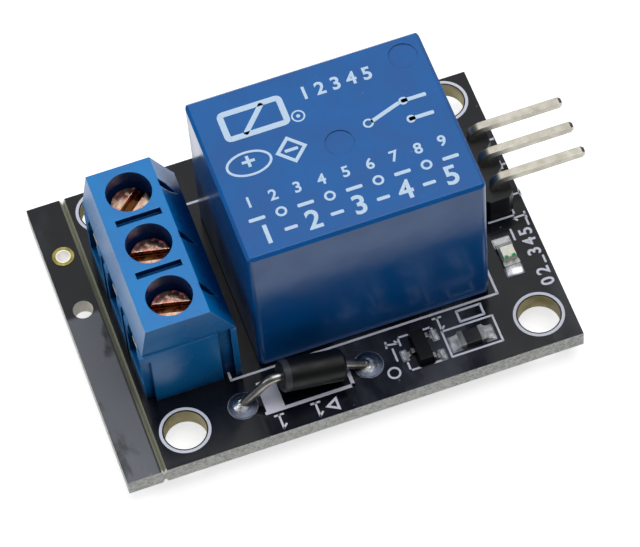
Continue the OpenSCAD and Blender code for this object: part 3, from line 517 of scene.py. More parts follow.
@dataclass(frozen=True)
class TurnedMetal(Finish):
    """Passivated screw: faint tool rings, a film that shifts from pink to cream and a stained slot."""

    axis: tuple[float, float]
    top: float
    pink: Colour = tone(206, 132, 126)
    cream: Colour = tone(224, 198, 172)
    stain: Colour = tone(104, 32, 34)
    oil: Colour = tone(96, 66, 32)
    ring_mm: float = 0.4
    relief_mm: float = 0.0012
    slot_mm: float = 0.3
    edge_mm: float = 0.06

    def paint(self, sheet: Coating) -> None:
        """Mixes film, grime and the slot's stain round the screw's axis.

        Args:
            sheet: Sheet of the material.
        """
        sheet.fix({"Metallic": 1.0})
        centre = (-self.axis[0], -self.axis[1], -self.top)
        centred = sheet.node("Mapping", {"Vector": sheet.place(), "Location": centre}).outputs[0]
        swirl = {"Distortion": 7.0, "Detail": 3.0, "Detail Scale": 1.6}
        rings = sheet.waves(centred, self.ring_mm, swirl, wave_type="RINGS", rings_direction="Z")
        film = sheet.step(sheet.noise(centred, 0.8, 3.0), 0.4, 0.6)
        grime_and_recess_shade = sheet.step(sheet.noise(centred, 0.6, 5.0), 0.46, 0.6)
        face = sheet.mix(sheet.times(grime_and_recess_shade, 0.35), sheet.mix(film, self.pink, self.cream), self.stain)
        slot = sheet.step(sheet.axes(centred)[2], -self.slot_mm * MM, -1.5 * self.slot_mm * MM)
        colour = sheet.mix(slot, face, sheet.mix(film, self.stain, self.oil))
        scuffs = sheet.plus(sheet.spread(rings, 0.12, 0.18), sheet.times(grime_and_recess_shade, 0.2), True)
        sheet.wear(colour, scuffs, rings, self.relief_mm, sheet.edge(self.edge_mm)[0])


@dataclass(frozen=True)
class Winding(Finish):
    """Enamelled copper wire wound in level turns round an upright bobbin."""

    enamel: Colour = tone(196, 104, 52)
    shade: Colour = tone(120, 52, 24)
    wire_mm: float = 0.12
    relief_mm: float = 0.03
    grain: tuple[float, float] = (5000.0, 500.0)

    def paint(self, sheet: Coating) -> None:
        """Shades the turns of the wire.

        Args:
            sheet: Sheet of the material.
        """
        sheet.fix({"Metallic": 0.6, "Coat Weight": 0.5, "Coat Roughness": 0.15})
        uneven = {"Distortion": 0.4, "Detail": 1.0}
        turns = sheet.waves(sheet.place(), self.wire_mm, uneven, bands_direction="Z")
        _, patches = sheet.grain(*self.grain)
        wire = sheet.mix(turns, self.shade, self.enamel)
        colour = sheet.mix(sheet.times(patches, 0.25), wire, self.shade)
        sheet.wear(colour, sheet.spread(turns, 0.45, 0.25), turns, self.relief_mm)


@dataclass(frozen=True)
class MaskedLaminate(Finish):
    """Circuit board: black solder mask over copper on both faces, glass laminate on every cut."""

    low: tuple[float, float, float]
    high: tuple[float, float, float]
    mask: Colour = tone(9, 13, 22)
    mask_deep: Colour = tone(3, 5, 10)
    # Colour of the painted reflection in thin pale smears
    smear_reflection_colour: Colour = tone(80, 86, 98)
    # Colour of the painted reflection on the front half of the rail
    rail_reflection_grey: Colour = tone(98, 102, 109)
    lint: Colour = tone(170, 170, 168)
    # Y in millimetres up to which the rail's painted reflection reaches
    rail_reflection_mm: float = 2.2
    sawn: Colour = tone(244, 245, 241)
    sawn_deep: Colour = tone(156, 159, 156)
    drilled: Colour = tone(226, 218, 180)
    drilled_deep: Colour = tone(176, 164, 110)
    scored: Colour = tone(146, 146, 114)
    punched: Colour = tone(250, 247, 240)
    rail_mm: float = 3.0
    rim_mm: float = 0.15
    track_mm: float = 2.4
    layer_mm: float = 0.2
    relief_mm: float = 0.003
    grain: tuple[float, float] = (5200.0, 300.0)
    cut_grain: tuple[float, float] = (3800.0, 520.0)
    dust: float = 0.5

    def groove(self) -> float:
        """X of the scored groove beside the rail, in metres."""
        return self.low[0] + self.rail_mm * MM

    def cut_colour(self, sheet: Coating) -> Socket:
        """Colour of the cut faces: sawn outside, drilled in the holes, scored along the rail.

        Args:
            sheet: Sheet of the material.

        Returns:
            The colour's socket.
        """
        place = sheet.place()
        x, y, _ = sheet.axes(place)
        rim = self.rim_mm * MM
        height, patches = sheet.grain(*self.cut_grain)
        fibres = {"Distortion": 3.0, "Detail": 3.0, "Detail Scale": 5.0}
        layers = sheet.waves(place, self.layer_mm, fibres, bands_direction="Z")
        cloth = sheet.math("MULTIPLY", layers, sheet.step(height, 0.38, 0.66), True)
        sawn = sheet.mix(cloth, self.sawn, self.sawn_deep)
        drilled = sheet.mix(patches, self.drilled, self.drilled_deep)
        sides = []
        for way, low, high in zip((x, y), self.low, self.high):
            sides.append(sheet.step(way, low + rim, low + 2 * rim))
            sides.append(sheet.step(way, high - rim, high - 2 * rim))
        rail = sheet.step(x, self.groove() - 4 * rim, self.groove() - 5 * rim)
        near = sheet.math("ABSOLUTE", sheet.math("SUBTRACT", x, self.groove()))
        scored = sheet.mix(sheet.times(height, 0.8), self.scored, self.sawn_deep)
        hole = sheet.mix(rail, drilled, self.punched)
        inner = sheet.mix(sheet.step(near, 3 * rim, 2 * rim), hole, scored)
        return sheet.mix(sheet.times(*sides), sawn, inner)

    def paint(self, sheet: Coating) -> None:
        """Lays copper, painted reflections (thin pale smears, and grey on the front half of the rail) and
        dust on both faces, and the cut colours everywhere else.

        Args:
            sheet: Sheet of the material.
        """
        sheet.fix({"Specular IOR Level": 0.36, "IOR": 1.5})
        place = sheet.place()
        upright = sheet.math("ABSOLUTE", sheet.axes(sheet.node("TexCoord").outputs["Normal"])[2])
        face = sheet.step(upright, 0.9, 0.99)
        height, patches = sheet.grain(*self.grain)
        # Copper under the mask: slow fields with straight borders
        fields = {"Vector": place, "Scale": 0.5 / (self.track_mm * MM), "Randomness": 0.75}
        pours = sheet.node("TexVoronoi", fields, distance="CHEBYCHEV").outputs["Distance"]
        borders = sheet.step(pours, 0.42, 0.46)
        # Painted reflection: thin pale smears that stand in for reflections on the glossy mask
        smear = {"Vector": place, "Scale": (1.0, 0.45, 1.0), "Rotation": (0.0, 0.0, 0.5)}
        stretched = sheet.node("Mapping", smear).outputs[0]
        reflection_smears = sheet.step(sheet.noise(stretched, 5.5, 5.0), 0.52, 0.74)
        # Painted reflection: the front half of the rail is painted grey, as a pale reflection on the glossy
        # mask
        x, y, _ = sheet.axes(place)
        rail_reflection = sheet.times(
            sheet.step(x, self.groove() - 0.3 * MM, self.groove() - 0.4 * MM),
            sheet.step(y, self.rail_reflection_mm * MM, (self.rail_reflection_mm - 0.5) * MM),
            sheet.step(sheet.noise(stretched, 4.6, 6.0), 0.36, 0.42),
        )
        lacquer = self.mask
        for where, share, colour in (
            (borders, 0.5, self.mask_deep), (patches, 0.4, self.mask_deep), (reflection_smears, 0.35, self.smear_reflection_colour),
            (rail_reflection, 0.85, self.rail_reflection_grey),
        ):
            lacquer = sheet.mix(sheet.times(where, share), lacquer, colour)
        lacquer = sheet.mix(sheet.dust(self.dust), lacquer, self.lint)
        gloss = sheet.plus(sheet.spread(patches, 0.2, 0.13), sheet.times(reflection_smears, 0.2), True)
        rough = sheet.node("Mix", {"Factor": face, 2: 0.75, 3: gloss}).outputs[0]
        relief = sheet.plus(sheet.times(borders, 0.8), sheet.times(height, 0.25))
        sheet.wear(sheet.mix(face, self.cut_colour(sheet), lacquer), rough, relief, self.relief_mm)


@dataclass(frozen=True)
class Ink(Finish):
    """Screen or pad print: slightly raised ink that thins in spots."""

    ink: Colour
    thin: Colour
    roughness: float = 0.6
    relief_mm: float = 0.003
    grain: tuple[float, float] = (11000.0, 2200.0)

    def paint(self, sheet: Coating) -> None:
        """Thins the ink in spots.

        Args:
            sheet: Sheet of the material.
        """
        sheet.fix({"Specular IOR Level": 0.35})
        height, patches = sheet.grain(*self.grain)
        colour = sheet.mix(sheet.times(sheet.step(height, 0.55, 0.75), 0.6), self.ink, self.thin)
        rough = sheet.spread(patches, self.roughness - 0.1, self.roughness + 0.1)
        sheet.wear(colour, rough, height, self.relief_mm)


@dataclass(frozen=True)
class BandedEpoxy(Finish):
    """Diode body: black epoxy with one grey band round its slanted axis."""

    middle: tuple[float, float, float]
    slant_deg: float
    band_start_mm: float
    band_end_mm: float
    skin_mm: float = 1.12
    edge_mm: float = 0.12
    relief_mm: float = 0.004
    grain: tuple[float, float] = (8000.0, 900.0)
    dust: float = 0.15
    epoxy: Colour = tone(13, 15, 18)
    deep: Colour = tone(6, 7, 9)
    band: Colour = tone(56, 58, 62)
    lint: Colour = tone(180, 180, 176)

    def paint(self, sheet: Coating) -> None:
        """Lays the band and dust on the epoxy.

        Args:
            sheet: Sheet of the material.
        """
        sheet.fix({"Specular IOR Level": 0.34})
        centred = sheet.vector("SUBTRACT", sheet.place(), self.middle)
        turn = {"Vector": centred, "Angle": math.radians(self.slant_deg)}
        turned = sheet.node("VectorRotate", turn, rotation_type="Y_AXIS").outputs[0]
        height, patches = sheet.grain(*self.grain)
        ragged = sheet.plus(sheet.axes(turned)[0], sheet.times(height, 0.04 * MM))
        rise = sheet.step(ragged, self.band_start_mm * MM, (self.band_start_mm + 0.03) * MM)
        fall = sheet.step(ragged, self.band_end_mm * MM, (self.band_end_mm - 0.03) * MM)
        reach = sheet.vector("LENGTH", sheet.vector("MULTIPLY", turned, (0.0, 1.0, 1.0)), output="Value")
        skin = sheet.step(reach, self.skin_mm * MM, (self.skin_mm + 0.08) * MM)
        epoxy = sheet.mix(sheet.dust(self.dust), sheet.mix(patches, self.deep, self.epoxy), self.lint)
        colour = sheet.mix(sheet.times(rise, fall, skin), epoxy, self.band)
        rough = sheet.spread(patches, 0.5, 0.36)
        sheet.wear(colour, rough, height, self.relief_mm, sheet.edge(self.edge_mm)[0])


@dataclass(frozen=True)
class Melt(Finish):
    """Metal that froze from the melt: lumpy and bright, with dull frosted patches."""

    bright: Colour = tone(206, 208, 210)
    frost: Colour = tone(140, 144, 154)
    roughness: float = 0.26
    lumps: float = 4200.0
    relief_mm: float = 0.012
    metal: float = 1.0
    patch: float = 1500.0

    def paint(self, sheet: Coating) -> None:
        """Frosts the metal in patches.

        Args:
            sheet: Sheet of the material.
        """
        sheet.fix({"Metallic": self.metal})
        height, patches = sheet.grain(self.lumps, self.patch)
        rough = sheet.spread(patches, self.roughness, self.roughness + 0.22)
        sheet.wear(sheet.mix(patches, self.bright, self.frost), rough, height, self.relief_mm)


@dataclass(frozen=True)
class PlatedEyelet(Finish):
    """Eyelet of the rail: dull gold ring on the face and a bright tinned bore."""

    axis: tuple[float, float]
    gold: Colour = tone(172, 158, 92)
    dull: Colour = tone(124, 112, 58)
    bore: Colour = tone(252, 251, 246)
    bore_mm: float = 0.58
    relief_mm: float = 0.004
    grain: tuple[float, float] = (9000.0, 1600.0)

    def paint(self, sheet: Coating) -> None:
        """Parts the bore from the gold ring by the distance from the axis.

        Args:
            sheet: Sheet of the material.
        """
        sheet.fix({"Metallic": 1.0})
        height, patches = sheet.grain(*self.grain)
        ring = sheet.step(sheet.from_axis(self.axis), self.bore_mm * MM, (self.bore_mm + 0.04) * MM)
        colour = sheet.mix(ring, self.bore, sheet.mix(patches, self.dull, self.gold))
        sheet.wear(colour, sheet.spread(height, 0.36, 0.5), height, self.relief_mm)


@dataclass(frozen=True)
class WettedPad(Finish):
    """Solder on a pad round a lead, with a painted highlight round the lead that fades into a painted dark
    bluish reflection towards the rim.
    """

    holes: tuple[tuple[float, float], tuple[float, float]]
    # Colours of the painted highlight round the lead and of the painted dark bluish reflection at the rim
    bright: Colour = tone(250, 250, 247)
    rim: Colour = tone(86, 93, 109)
    frost: Colour = tone(112, 118, 132)
    highlight_mm: float = 0.76
    highlight_fade_mm: float = 0.95
    relief_mm: float = 0.03
    grain: tuple[float, float] = (3600.0, 1300.0)

    def paint(self, sheet: Coating) -> None:
        """Fades the painted highlight into the painted dark bluish reflection with the distance from the
        nearest lead.

        Args:
            sheet: Sheet of the material.
        """
        sheet.fix({"Metallic": 1.0})
        height, patches = sheet.grain(*self.grain)
        run = sheet.math("MINIMUM", *(sheet.from_axis(hole) for hole in self.holes))
        ragged = sheet.plus(run, sheet.times(height, 0.2 * MM))
        # Painted light: the mask is 0 at the highlight round the lead and 1 at the dark bluish reflection
        # towards the rim
        thin = sheet.step(ragged, self.highlight_mm * MM, self.highlight_fade_mm * MM)
        colour = sheet.mix(thin, sheet.mix(patches, self.bright, self.frost), self.rim)
        rough = sheet.plus(sheet.spread(patches, 0.24, 0.38), sheet.times(thin, 0.12), True)
        sheet.wear(colour, rough, height, self.relief_mm)


@dataclass(frozen=True)
class ClearEpoxy(Finish):
    """Cast lamp resin: cream, partly clear, with faint flow lines."""

    resin: Colour = tone(250, 249, 238)
    cloud: Colour = tone(236, 236, 214)
    clear: float = 0.06
    relief_mm: float = 0.004
    grain: tuple[float, float] = (3600.0, 1800.0)

    def paint(self, sheet: Coating) -> None:
        """Clouds the resin in patches.

        Args:
            sheet: Sheet of the material.
        """
        sheet.fix({"Transmission Weight": self.clear, "IOR": 1.5, "Coat Weight": 0.4, "Coat Roughness": 0.08})
        height, patches = sheet.grain(*self.grain)
        colour = sheet.mix(patches, self.cloud, self.resin)
        sheet.wear(colour, sheet.spread(height, 0.12, 0.26), height, self.relief_mm)


# ---- Modelling ----


def deselect() -> None:
    """Goes back to object mode and leaves nothing selected."""
    if bpy.context.mode != "OBJECT":
        bpy.ops.object.mode_set(mode="OBJECT")
    bpy.ops.object.select_all(action="DESELECT")


def settle(location: bool = False, rotation: bool = False) -> None:
    """Applies the scale of the selected pieces, and their place or turn where asked."""
    bpy.ops.object.transform_apply(location=location, rotation=rotation, scale=True)


def open_edit(mode: str = "FACE") -> None:
    """Opens the active piece in edit mode with all of its corners or faces selected."""
    bpy.ops.object.mode_set(mode="EDIT")
    select_all(mode)


def select_all(mode: str = "FACE") -> None:
    """Selects all of the mesh in edit mode."""
    bpy.ops.mesh.select_mode(type=mode)
    bpy.ops.mesh.select_all(action="SELECT")


def gather(parts: Sequence[Piece], name: str) -> Piece:
    """Joins parts drawn in millimetres to one piece in metres, with its place in its mesh.

    Args:
        parts: Mesh objects.
        name: Name of the piece.

    Returns:
        The joined piece.
    """
    deselect()
    for part in parts:
        part.select_set(True)
    piece = parts[0]
    bpy.context.view_layer.objects.active = piece
    settle(True, True)
    bpy.ops.object.join()
    piece.scale = (MM, MM, MM)
    settle(True, True)
    piece.name = name
    piece.data.name = name
    return piece


def dress(piece: Piece, material: bpy.types.Material, body: str) -> None:
    """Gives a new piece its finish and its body.

    Args:
        piece: The piece.
        material: Its material.
        body: CAD body that it moves with.
    """
    piece.data.materials.clear()
    piece.data.materials.append(material)
    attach(piece, body)
    LOG.info("piece %s: %d faces, rides on %s", piece.name, len(piece.data.polygons), body)


def box_mm(node: str) -> Box:
    """Lowest and highest corner of a CAD node, in millimetres."""
    low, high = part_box(node)
    return low / MM, high / MM


def middle(low: Vector, high: Vector) -> tuple[float, float]:
    """Middle of a box in X and Y."""
    return ((low.x + high.x) / 2, (low.y + high.y) / 2)


def islands_mm(node: str) -> list[Box]:
    """Boxes of the separate solids in a CAD node, in millimetres.

    Args:
        node: Name of the node.

    Returns:
        One box for each solid, sorted by its place.
    """
    mesh = FRAME["nodes"][node].data
    points = np.array([vertex.co for vertex in mesh.vertices]) / MM
    _, ids = np.unique(np.round(points / 0.001).astype(int), axis=0, return_inverse=True)
    ids = ids.reshape(-1)
    owner = list(range(ids.max() + 1))

    def root(index: int) -> int:
        """Finds the first member of an island.

        Args:
            index: Any member.

        Returns:
            The first member.
        """
        while owner[index] != index:
            owner[index] = owner[owner[index]]
            index = owner[index]
        return index

    for face in mesh.polygons:
        first, *others = (root(ids[index]) for index in face.vertices)
        for other in others:
            owner[other] = first
    roots = np.array([root(index) for index in ids])
    islands = [points[roots == found] for found in np.unique(roots)]
    boxes = [(Vector(island.min(axis=0)), Vector(island.max(axis=0))) for island in islands]
    return sorted(boxes, key=lambda box: (round(box[0].x, 1), round(box[0].y, 1)))


@dataclass
class Pen:
    """Draws flat raised marks on one level, in millimetres from its origin."""

    level: float
    height: float = 0.018
    origin: tuple[float, float] = (0.0, 0.0)
    digit_share: float = 0.73  # Height of a digit in type of size 1
    parts: list[Piece] = field(default_factory=list)

    def pose(self, centre: Sequence[float], turn: float, lift: float = 0.0) -> dict[str, Sequence[float]]:
        """Place and turn of a new part, in the words of Blender's operators."""
        spot = (self.origin[0] + centre[0], self.origin[1] + centre[1], self.level + lift)
        return {"location": spot, "rotation": (0, 0, math.radians(turn))}

    def raise_part(self, line: float = 0.0) -> None:
        """Gives the flat part in work its height and keeps it.

        Args:
            line: Width of the line that its outline becomes; 0 leaves it whole.
        """
        if line > 0:
            bpy.ops.mesh.inset(thickness=line)
            bpy.ops.mesh.delete(type="FACE")
            bpy.ops.mesh.select_all(action="SELECT")
        bpy.ops.mesh.extrude_region_move(TRANSFORM_OT_translate={"value": (0, 0, self.height)})
        self.keep()

    def keep(self) -> None:
        """Closes the part in work, with every face turned outwards, and keeps it."""
        bpy.ops.mesh.select_all(action="SELECT")
        bpy.ops.mesh.normals_make_consistent(inside=False)
        bpy.ops.object.mode_set(mode="OBJECT")
        self.parts.append(bpy.context.active_object)

    def plate(
        self, centre: Sequence[float], size: Sequence[float], turn: float = 0.0, corner: float = 0.05,
        line: float = 0.0,
    ) -> None:
        """Draws a plate with eased corners, or only its outline.

        Args:
            centre: Middle in X and Y.
            size: Length and width.
            turn: Turn about Z in degrees.
            corner: Radius of the corners.
            line: Width of the outline; 0 leaves it whole.
        """
        deselect()
        bpy.ops.mesh.primitive_plane_add(size=1, **self.pose(centre, turn))
        bpy.context.active_object.scale = (*size, 1)
        settle()
        open_edit("VERT")
        bpy.ops.mesh.bevel(offset=min(corner, 0.45 * min(size)), segments=3, affect="VERTICES")
        select_all()
        self.raise_part(line)

    def frame(self, low: Sequence[float], high: Sequence[float], width: float, corner: float = 0.08) -> None:
        """Draws a rectangular line.

        Args:
            low: Its lower left corner, on the middle of the line.
            high: Its upper right corner.
            width: Width of the line.
            corner: Radius of its outer corners.
        """
        size = [end - start + width for start, end in zip(low, high)]
        self.plate([(start + end) / 2 for start, end in zip(low, high)], size, 0.0, corner, width)

    def path(self, points: Iterable[Sequence[float]], width: float) -> None:
        """Draws a line through several points.

        Args:
            points: Points in X and Y.
            width: Width of the line.
        """
        points = [Vector(point) for point in points]
        for start, end in zip(points, points[1:]):
            run = end - start
            turn = math.degrees(math.atan2(run.y, run.x))
            self.plate((start + end) / 2, (run.length + width, width), turn, width / 3)

    def stroke(self, x: float, y: float, length: float, width: float, upright: bool = False) -> None:
        """Draws a short line along X, or along Y, from its first point."""
        self.path([(x, y), (x, y + length) if upright else (x + length, y)], width)

    def ring(
        self, centre: Sequence[float], radius: float, width: float, squash: float = 1.0, sides: int = 64,
        turn: float = 0.0,
    ) -> None:
        """Draws a ring, an oval or a regular outline.

        Args:
            centre: Middle in X and Y.
            radius: Outer radius.
            width: Width of the line; 0 leaves a solid shape.
            squash: Height as a share of the length.
            sides: Number of sides; a round ring has many.
            turn: Turn about Z in degrees.
        """
        deselect()
        pose = self.pose(centre, turn)
        bpy.ops.mesh.primitive_circle_add(vertices=sides, radius=radius, fill_type="NGON", **pose)
        settle(rotation=True)
        bpy.context.active_object.scale = (1, squash, 1)
        settle()
        open_edit()
        self.raise_part(width)

    def figure(
        self, text: str, centre: Sequence[float], height: float, turn: float = 0.0, weight: float = 0.03
    ) -> None:
        """Draws plain figures or signs.

        Args:
            text: Digits or signs.
            centre: Middle in X and Y.
            height: Height of a digit.
            turn: Turn about Z in degrees.
            weight: How much each stroke is fattened.
        """
        deselect()
        bpy.ops.object.text_add(**self.pose(centre, turn, self.height / 2))
        curve = bpy.context.active_object.data
        curve.body = text
        curve.size = height / self.digit_share
        curve.extrude = self.height / 2
        curve.offset = weight
        curve.resolution_u = 4
        curve.align_x = "CENTER"
        curve.align_y = "CENTER"
        bpy.ops.object.convert(target="MESH")
        open_edit()
        bpy.ops.mesh.remove_doubles(threshold=0.0005)
        self.keep()

    def one(self, centre: Sequence[float], height: float, turn: float = 0.0, line: float = 0.17) -> None:
        """Draws a plain figure one with a flag and a foot.

        Args:
            centre: Middle in X and Y.
            height: Height of the figure.
            turn: Turn about Z in degrees.
            line: Width of its lines.
        """
        half, flag, foot = height / 2, height * 0.24, height * 0.26
        spin = Matrix.Rotation(math.radians(turn), 2)
        for points in (((-flag, half - flag), (0, half), (0, -half)), ((-foot, -half), (foot, -half))):
            self.path([Vector(centre) + spin @ Vector(point) for point in points], line)


# ---- Printed marks ----


@dataclass
class BoardPrint:
    """Pale screen print on the board's top face: outlines, rings, signs and plain figures."""

    line: float = 0.2
    thin: float = 0.17
    hole_ring: float = 2.05
    hole_line: float = 0.24
    relay_margin: tuple[float, float, float, float] = (2.55, 0.3, 0.49, 1.11)

    def build(self, effects: Effects) -> None:
        """Models the print and dresses it.

        Args:
            effects: Shared node groups.
        """
        pen = Pen(level=box_mm("circuit_board")[1].z)
        self.draw_holes(pen)
        self.draw_relay(pen)
        self.draw_diode(pen)
        self.draw_chips(pen)
        self.draw_header(pen)
        ink = Ink("screen_print", tone(206, 208, 222), tone(150, 152, 168)).material(effects)
        dress(gather(pen.parts, "board_print"), ink, "board")

    def draw_holes(self, pen: Pen) -> None:
        """Rings round the four mounting holes.

        Args:
            pen: Pen of the print.
        """
        spacing = next(m for m in FRAME["record"]["mounts"] if m["name"] == "mounting_holes")["dims"]
        for side in (-0.5, 0.5):
            for end in (-0.5, 0.5):
                centre = (side * spacing["spacing_x_mm"], end * spacing["spacing_y_mm"])
                pen.ring(centre, self.hole_ring, self.hole_line)

    def draw_relay(self, pen: Pen) -> None:
        """Outline round the relay that runs on under the terminal block.

        Args:
            pen: Pen of the print.
        """
        low, high = box_mm("relay_case")
        left, front, right, back = self.relay_margin
        pen.frame((low.x - left, low.y - front), (high.x + right, high.y + back), self.line)

    def draw_diode(self, pen: Pen, line: float = 0.3) -> None:
        """Outline of the diode with a solid block at its banded end, and its marks in front.

        Args:
            pen: Pen of the print.
            line: Width of the outline.
        """
        low, high = box_mm("diode_body")
        left, right, front, back = low.x - 1.4, high.x + 0.17, low.y, high.y + 0.3
        block, shore = low.x + 0.13, front + line / 2
        pen.plate(((left + block) / 2, (shore + back) / 2), (block - left, back - shore))
        pen.path([(left, front), (right, front), (right, back - 0.86)], line)
        for run in (-0.6, 2.4):
            pen.one((low.x + run, front - 1.1), 1.25, 180)
        pen.ring((low.x + 3.75, front - 1.1), 0.74, self.line, sides=3, turn=90)

    def draw_chips(self, pen: Pen) -> None:
        """Corner marks of the transistor, outline of the resistor and marks of the lamp.

        Args:
            pen: Pen of the print.
        """
        low, high = box_mm("transistor_leads")
        for side, x in ((-1, low.x - 0.15), (1, high.x + 0.15)):
            for y, way in ((high.y + 0.6, -1), (low.y - 0.25, 1)):
                pen.path([(x - side * 0.8, y), (x, y), (x, y + way * 0.72)], self.thin)
        pen.one((low.x - 0.75, high.y + 0.2), 0.95, -100)
        pen.stroke(low.x - 0.85, high.y - 0.25, -1.1, self.thin, True)
        pen.ring((low.x - 1.45, low.y), 0.55, self.thin)
        low, high = box_mm("resistor_ends")
        pen.frame((low.x - 0.95, low.y - 0.34), (high.x + 1.18, high.y + 0.78), self.thin)
        pen.one((low.x - 0.9, high.y + 1.5), 1.2, 180)
        pen.frame((low.x + 0.75, high.y + 1.12), (low.x + 2.75, high.y + 2.12), 0.19)
        high = box_mm("lamp_terminals")[1]
        pen.stroke(high.x + 0.4, high.y + 1.24, -0.98, self.thin, True)

    def draw_header(self, pen: Pen) -> None:
        """Signs beside the header's pins and the lamp's marks along the right edge.

        Args:
            pen: Pen of the print.
        """
        low, high = box_mm("header_block")
        rows = sorted(middle(*box_mm(f"header_pin_{n}"))[1] for n in (1, 2, 3))
        column, right, front = high.x + 0.55, high.x - 0.1, low.y - 0.2
        pen.path([(low.x + 0.2, front), (right, front), (right, low.y + 0.3)], self.thin)
        pen.figure("+", (column, rows[1] + 0.8), 1.2)
        pen.stroke(column - 0.3, rows[2] + 0.95, 0.6, self.line)
        pen.one((column, rows[0] + 0.4), 0.95, 90)
        # A run of plain figures and strokes that reads up along the edge
        line, start = column - 0.38, box_mm("lamp_terminals")[0].y
        for text, run in (("0", -2.2), ("2", -1.15), ("3", 0.8), ("4", 1.8), ("5", 2.8)):
            pen.figure(text, (line, start + run), 1.1, 90)
        for run in (-0.45, 3.35):
            pen.stroke(line + 0.45, start + run, 0.6, self.thin, True)
        pen.one((line, start + 4.3), 1.05, 90)


@dataclass
class RelayPrint:
    """Pale pad print on the relay's top: a coil and contact diagram, plain figures and rules."""

    line: float = 0.24
    bold: float = 0.34
    slim: float = 0.28
    digit: float = 1.0
    large_digit: float = 1.75

    def build(self, effects: Effects) -> None:
        """Models the print and dresses it.

        Args:
            effects: Shared node groups.
        """
        low, high = box_mm("relay_case")
        pen = Pen(level=high.z, origin=(low.x, low.y))
        self.draw_coil(pen)
        self.draw_signs(pen)
        self.draw_contacts(pen)
        self.draw_rows(pen)
        ink = Ink("pad_print", tone(188, 212, 234), tone(120, 156, 200)).material(effects)
        dress(gather(pen.parts, "relay_print"), ink, "board")

    def draw_coil(self, pen: Pen) -> None:
        """Diagram of the coil: a rounded frame with a slanted bar, and a row of figures.

        Args:
            pen: Pen of the print.
        """
        pen.frame((2.2, 11.0), (7.0, 13.4), 0.5, 0.5)
        pen.path([(3.7, 11.2), (5.5, 13.2)], 0.42)
        pen.figure("1 2 3 4 5", (11.6, 13.0), 1.2, weight=0.04)

    def draw_signs(self, pen: Pen) -> None:
        """A dotted ring, an oval with a plus sign and a diamond with a bar.

        Args:
            pen: Pen of the print.
        """
        pen.ring((7.9, 11.2), 0.55, 0.13)
        pen.ring((7.9, 11.2), 0.16, 0.0, sides=24)
        pen.ring((2.97, 8.42), 1.85, 0.2, squash=0.62)
        pen.figure("+", (2.97, 8.5), 1.5, weight=0.04)
        pen.ring((6.4, 8.45), 1.3, self.slim, sides=4)
        pen.stroke(6.0, 8.45, 0.8, self.slim)

    def draw_contacts(self, pen: Pen) -> None:
        """Diagram of the changeover contact: an arm between two fixed points.

        Args:
            pen: Pen of the print.
        """
        pen.ring((12.7, 8.6), 0.42, 0.16)
        pen.path([(13.1, 8.7), (15.4, 9.5)], self.bold)
        for y in (7.8, 9.6):
            pen.ring((15.9, y), 0.36, 0.0, sides=32)
            pen.stroke(15.9, y, 1.7, self.bold)

    def draw_rows(self, pen: Pen) -> None:
        """Three rows in the front half: a row of digits, a rule and large pin numbers.

        Args:
            pen: Pen of the print.
        """
        for index in range(9):
            x = 1.4 + index * 1.95
            pen.figure(str(index + 1), (x + 0.4, 5.0), self.digit)
            if index % 2:
                pen.ring((x + 0.5, 3.4), 0.45, self.line * 0.8)
            else:
                pen.stroke(x, 3.4, 1.0, self.line * 1.3)
        for index in range(5):
            x = index * 3.7
            pen.figure(str(index + 1), (x + 2.2, 1.75), self.large_digit, weight=0.05)
            if index:
                pen.stroke(x, 1.75, 0.75, 0.3)


@dataclass
class LampMarks:
    """Two green cathode marks on the lens, at the lamp's front end."""

    size: tuple[float, float] = (0.34, 0.26)
    spread: float = 0.3
    inset: float = 0.14
    slant: float = 18.0

    def build(self, effects: Effects) -> None:
        """Models the marks and dresses them.

        Args:
            effects: Shared node groups.
        """
        low, high = box_mm("lamp_lens")
        pen = Pen(level=high.z, height=0.02)
        for side in (-1, 1):
            centre = (middle(low, high)[0] + side * self.spread, low.y + self.inset)
            pen.plate(centre, self.size, side * self.slant, 0.1)
        ink = Ink("green_mark", tone(36, 150, 96), tone(30, 110, 74)).material(effects)
        dress(gather(pen.parts, "lamp_marks"), ink, "board")


@dataclass
class Pads:
    """Tinned copper under the solder: rings round the plated holes and lands of the chip parts."""

    ring: float = 0.06
    apron: float = 0.12
    height: float = 0.03

    def build(self, effects: Effects) -> None:
        """Models the rings and lands and dresses them.

        Args:
            effects: Shared node groups.
        """
        low, high = box_mm("circuit_board")
        under = Pen(level=low.z - self.height, height=self.height)
        over = Pen(level=high.z, height=self.height)
        for node in ("relay_solder", "terminal_solder", "header_solder", "diode_solder"):
            for first, last in islands_mm(node):
                for pen in (under, over) if node == "diode_solder" else (under,):
                    pen.ring(middle(first, last), (last.x - first.x) / 2 + self.ring, self.ring * 2)
        for first, last in islands_mm("chip_solder"):
            size = [length + 2 * self.apron for length in (last - first).xy]
            over.plate(middle(first, last), size, corner=0.1)
        tin = Melt("tinned_pad", tone(170, 172, 178), tone(116, 120, 130), 0.4).material(effects)
        dress(gather(under.parts, "pads_under"), tin, "board")
        dress(gather(over.parts, "pads_over"), tin, "board")


# ---- CAD nodes ----


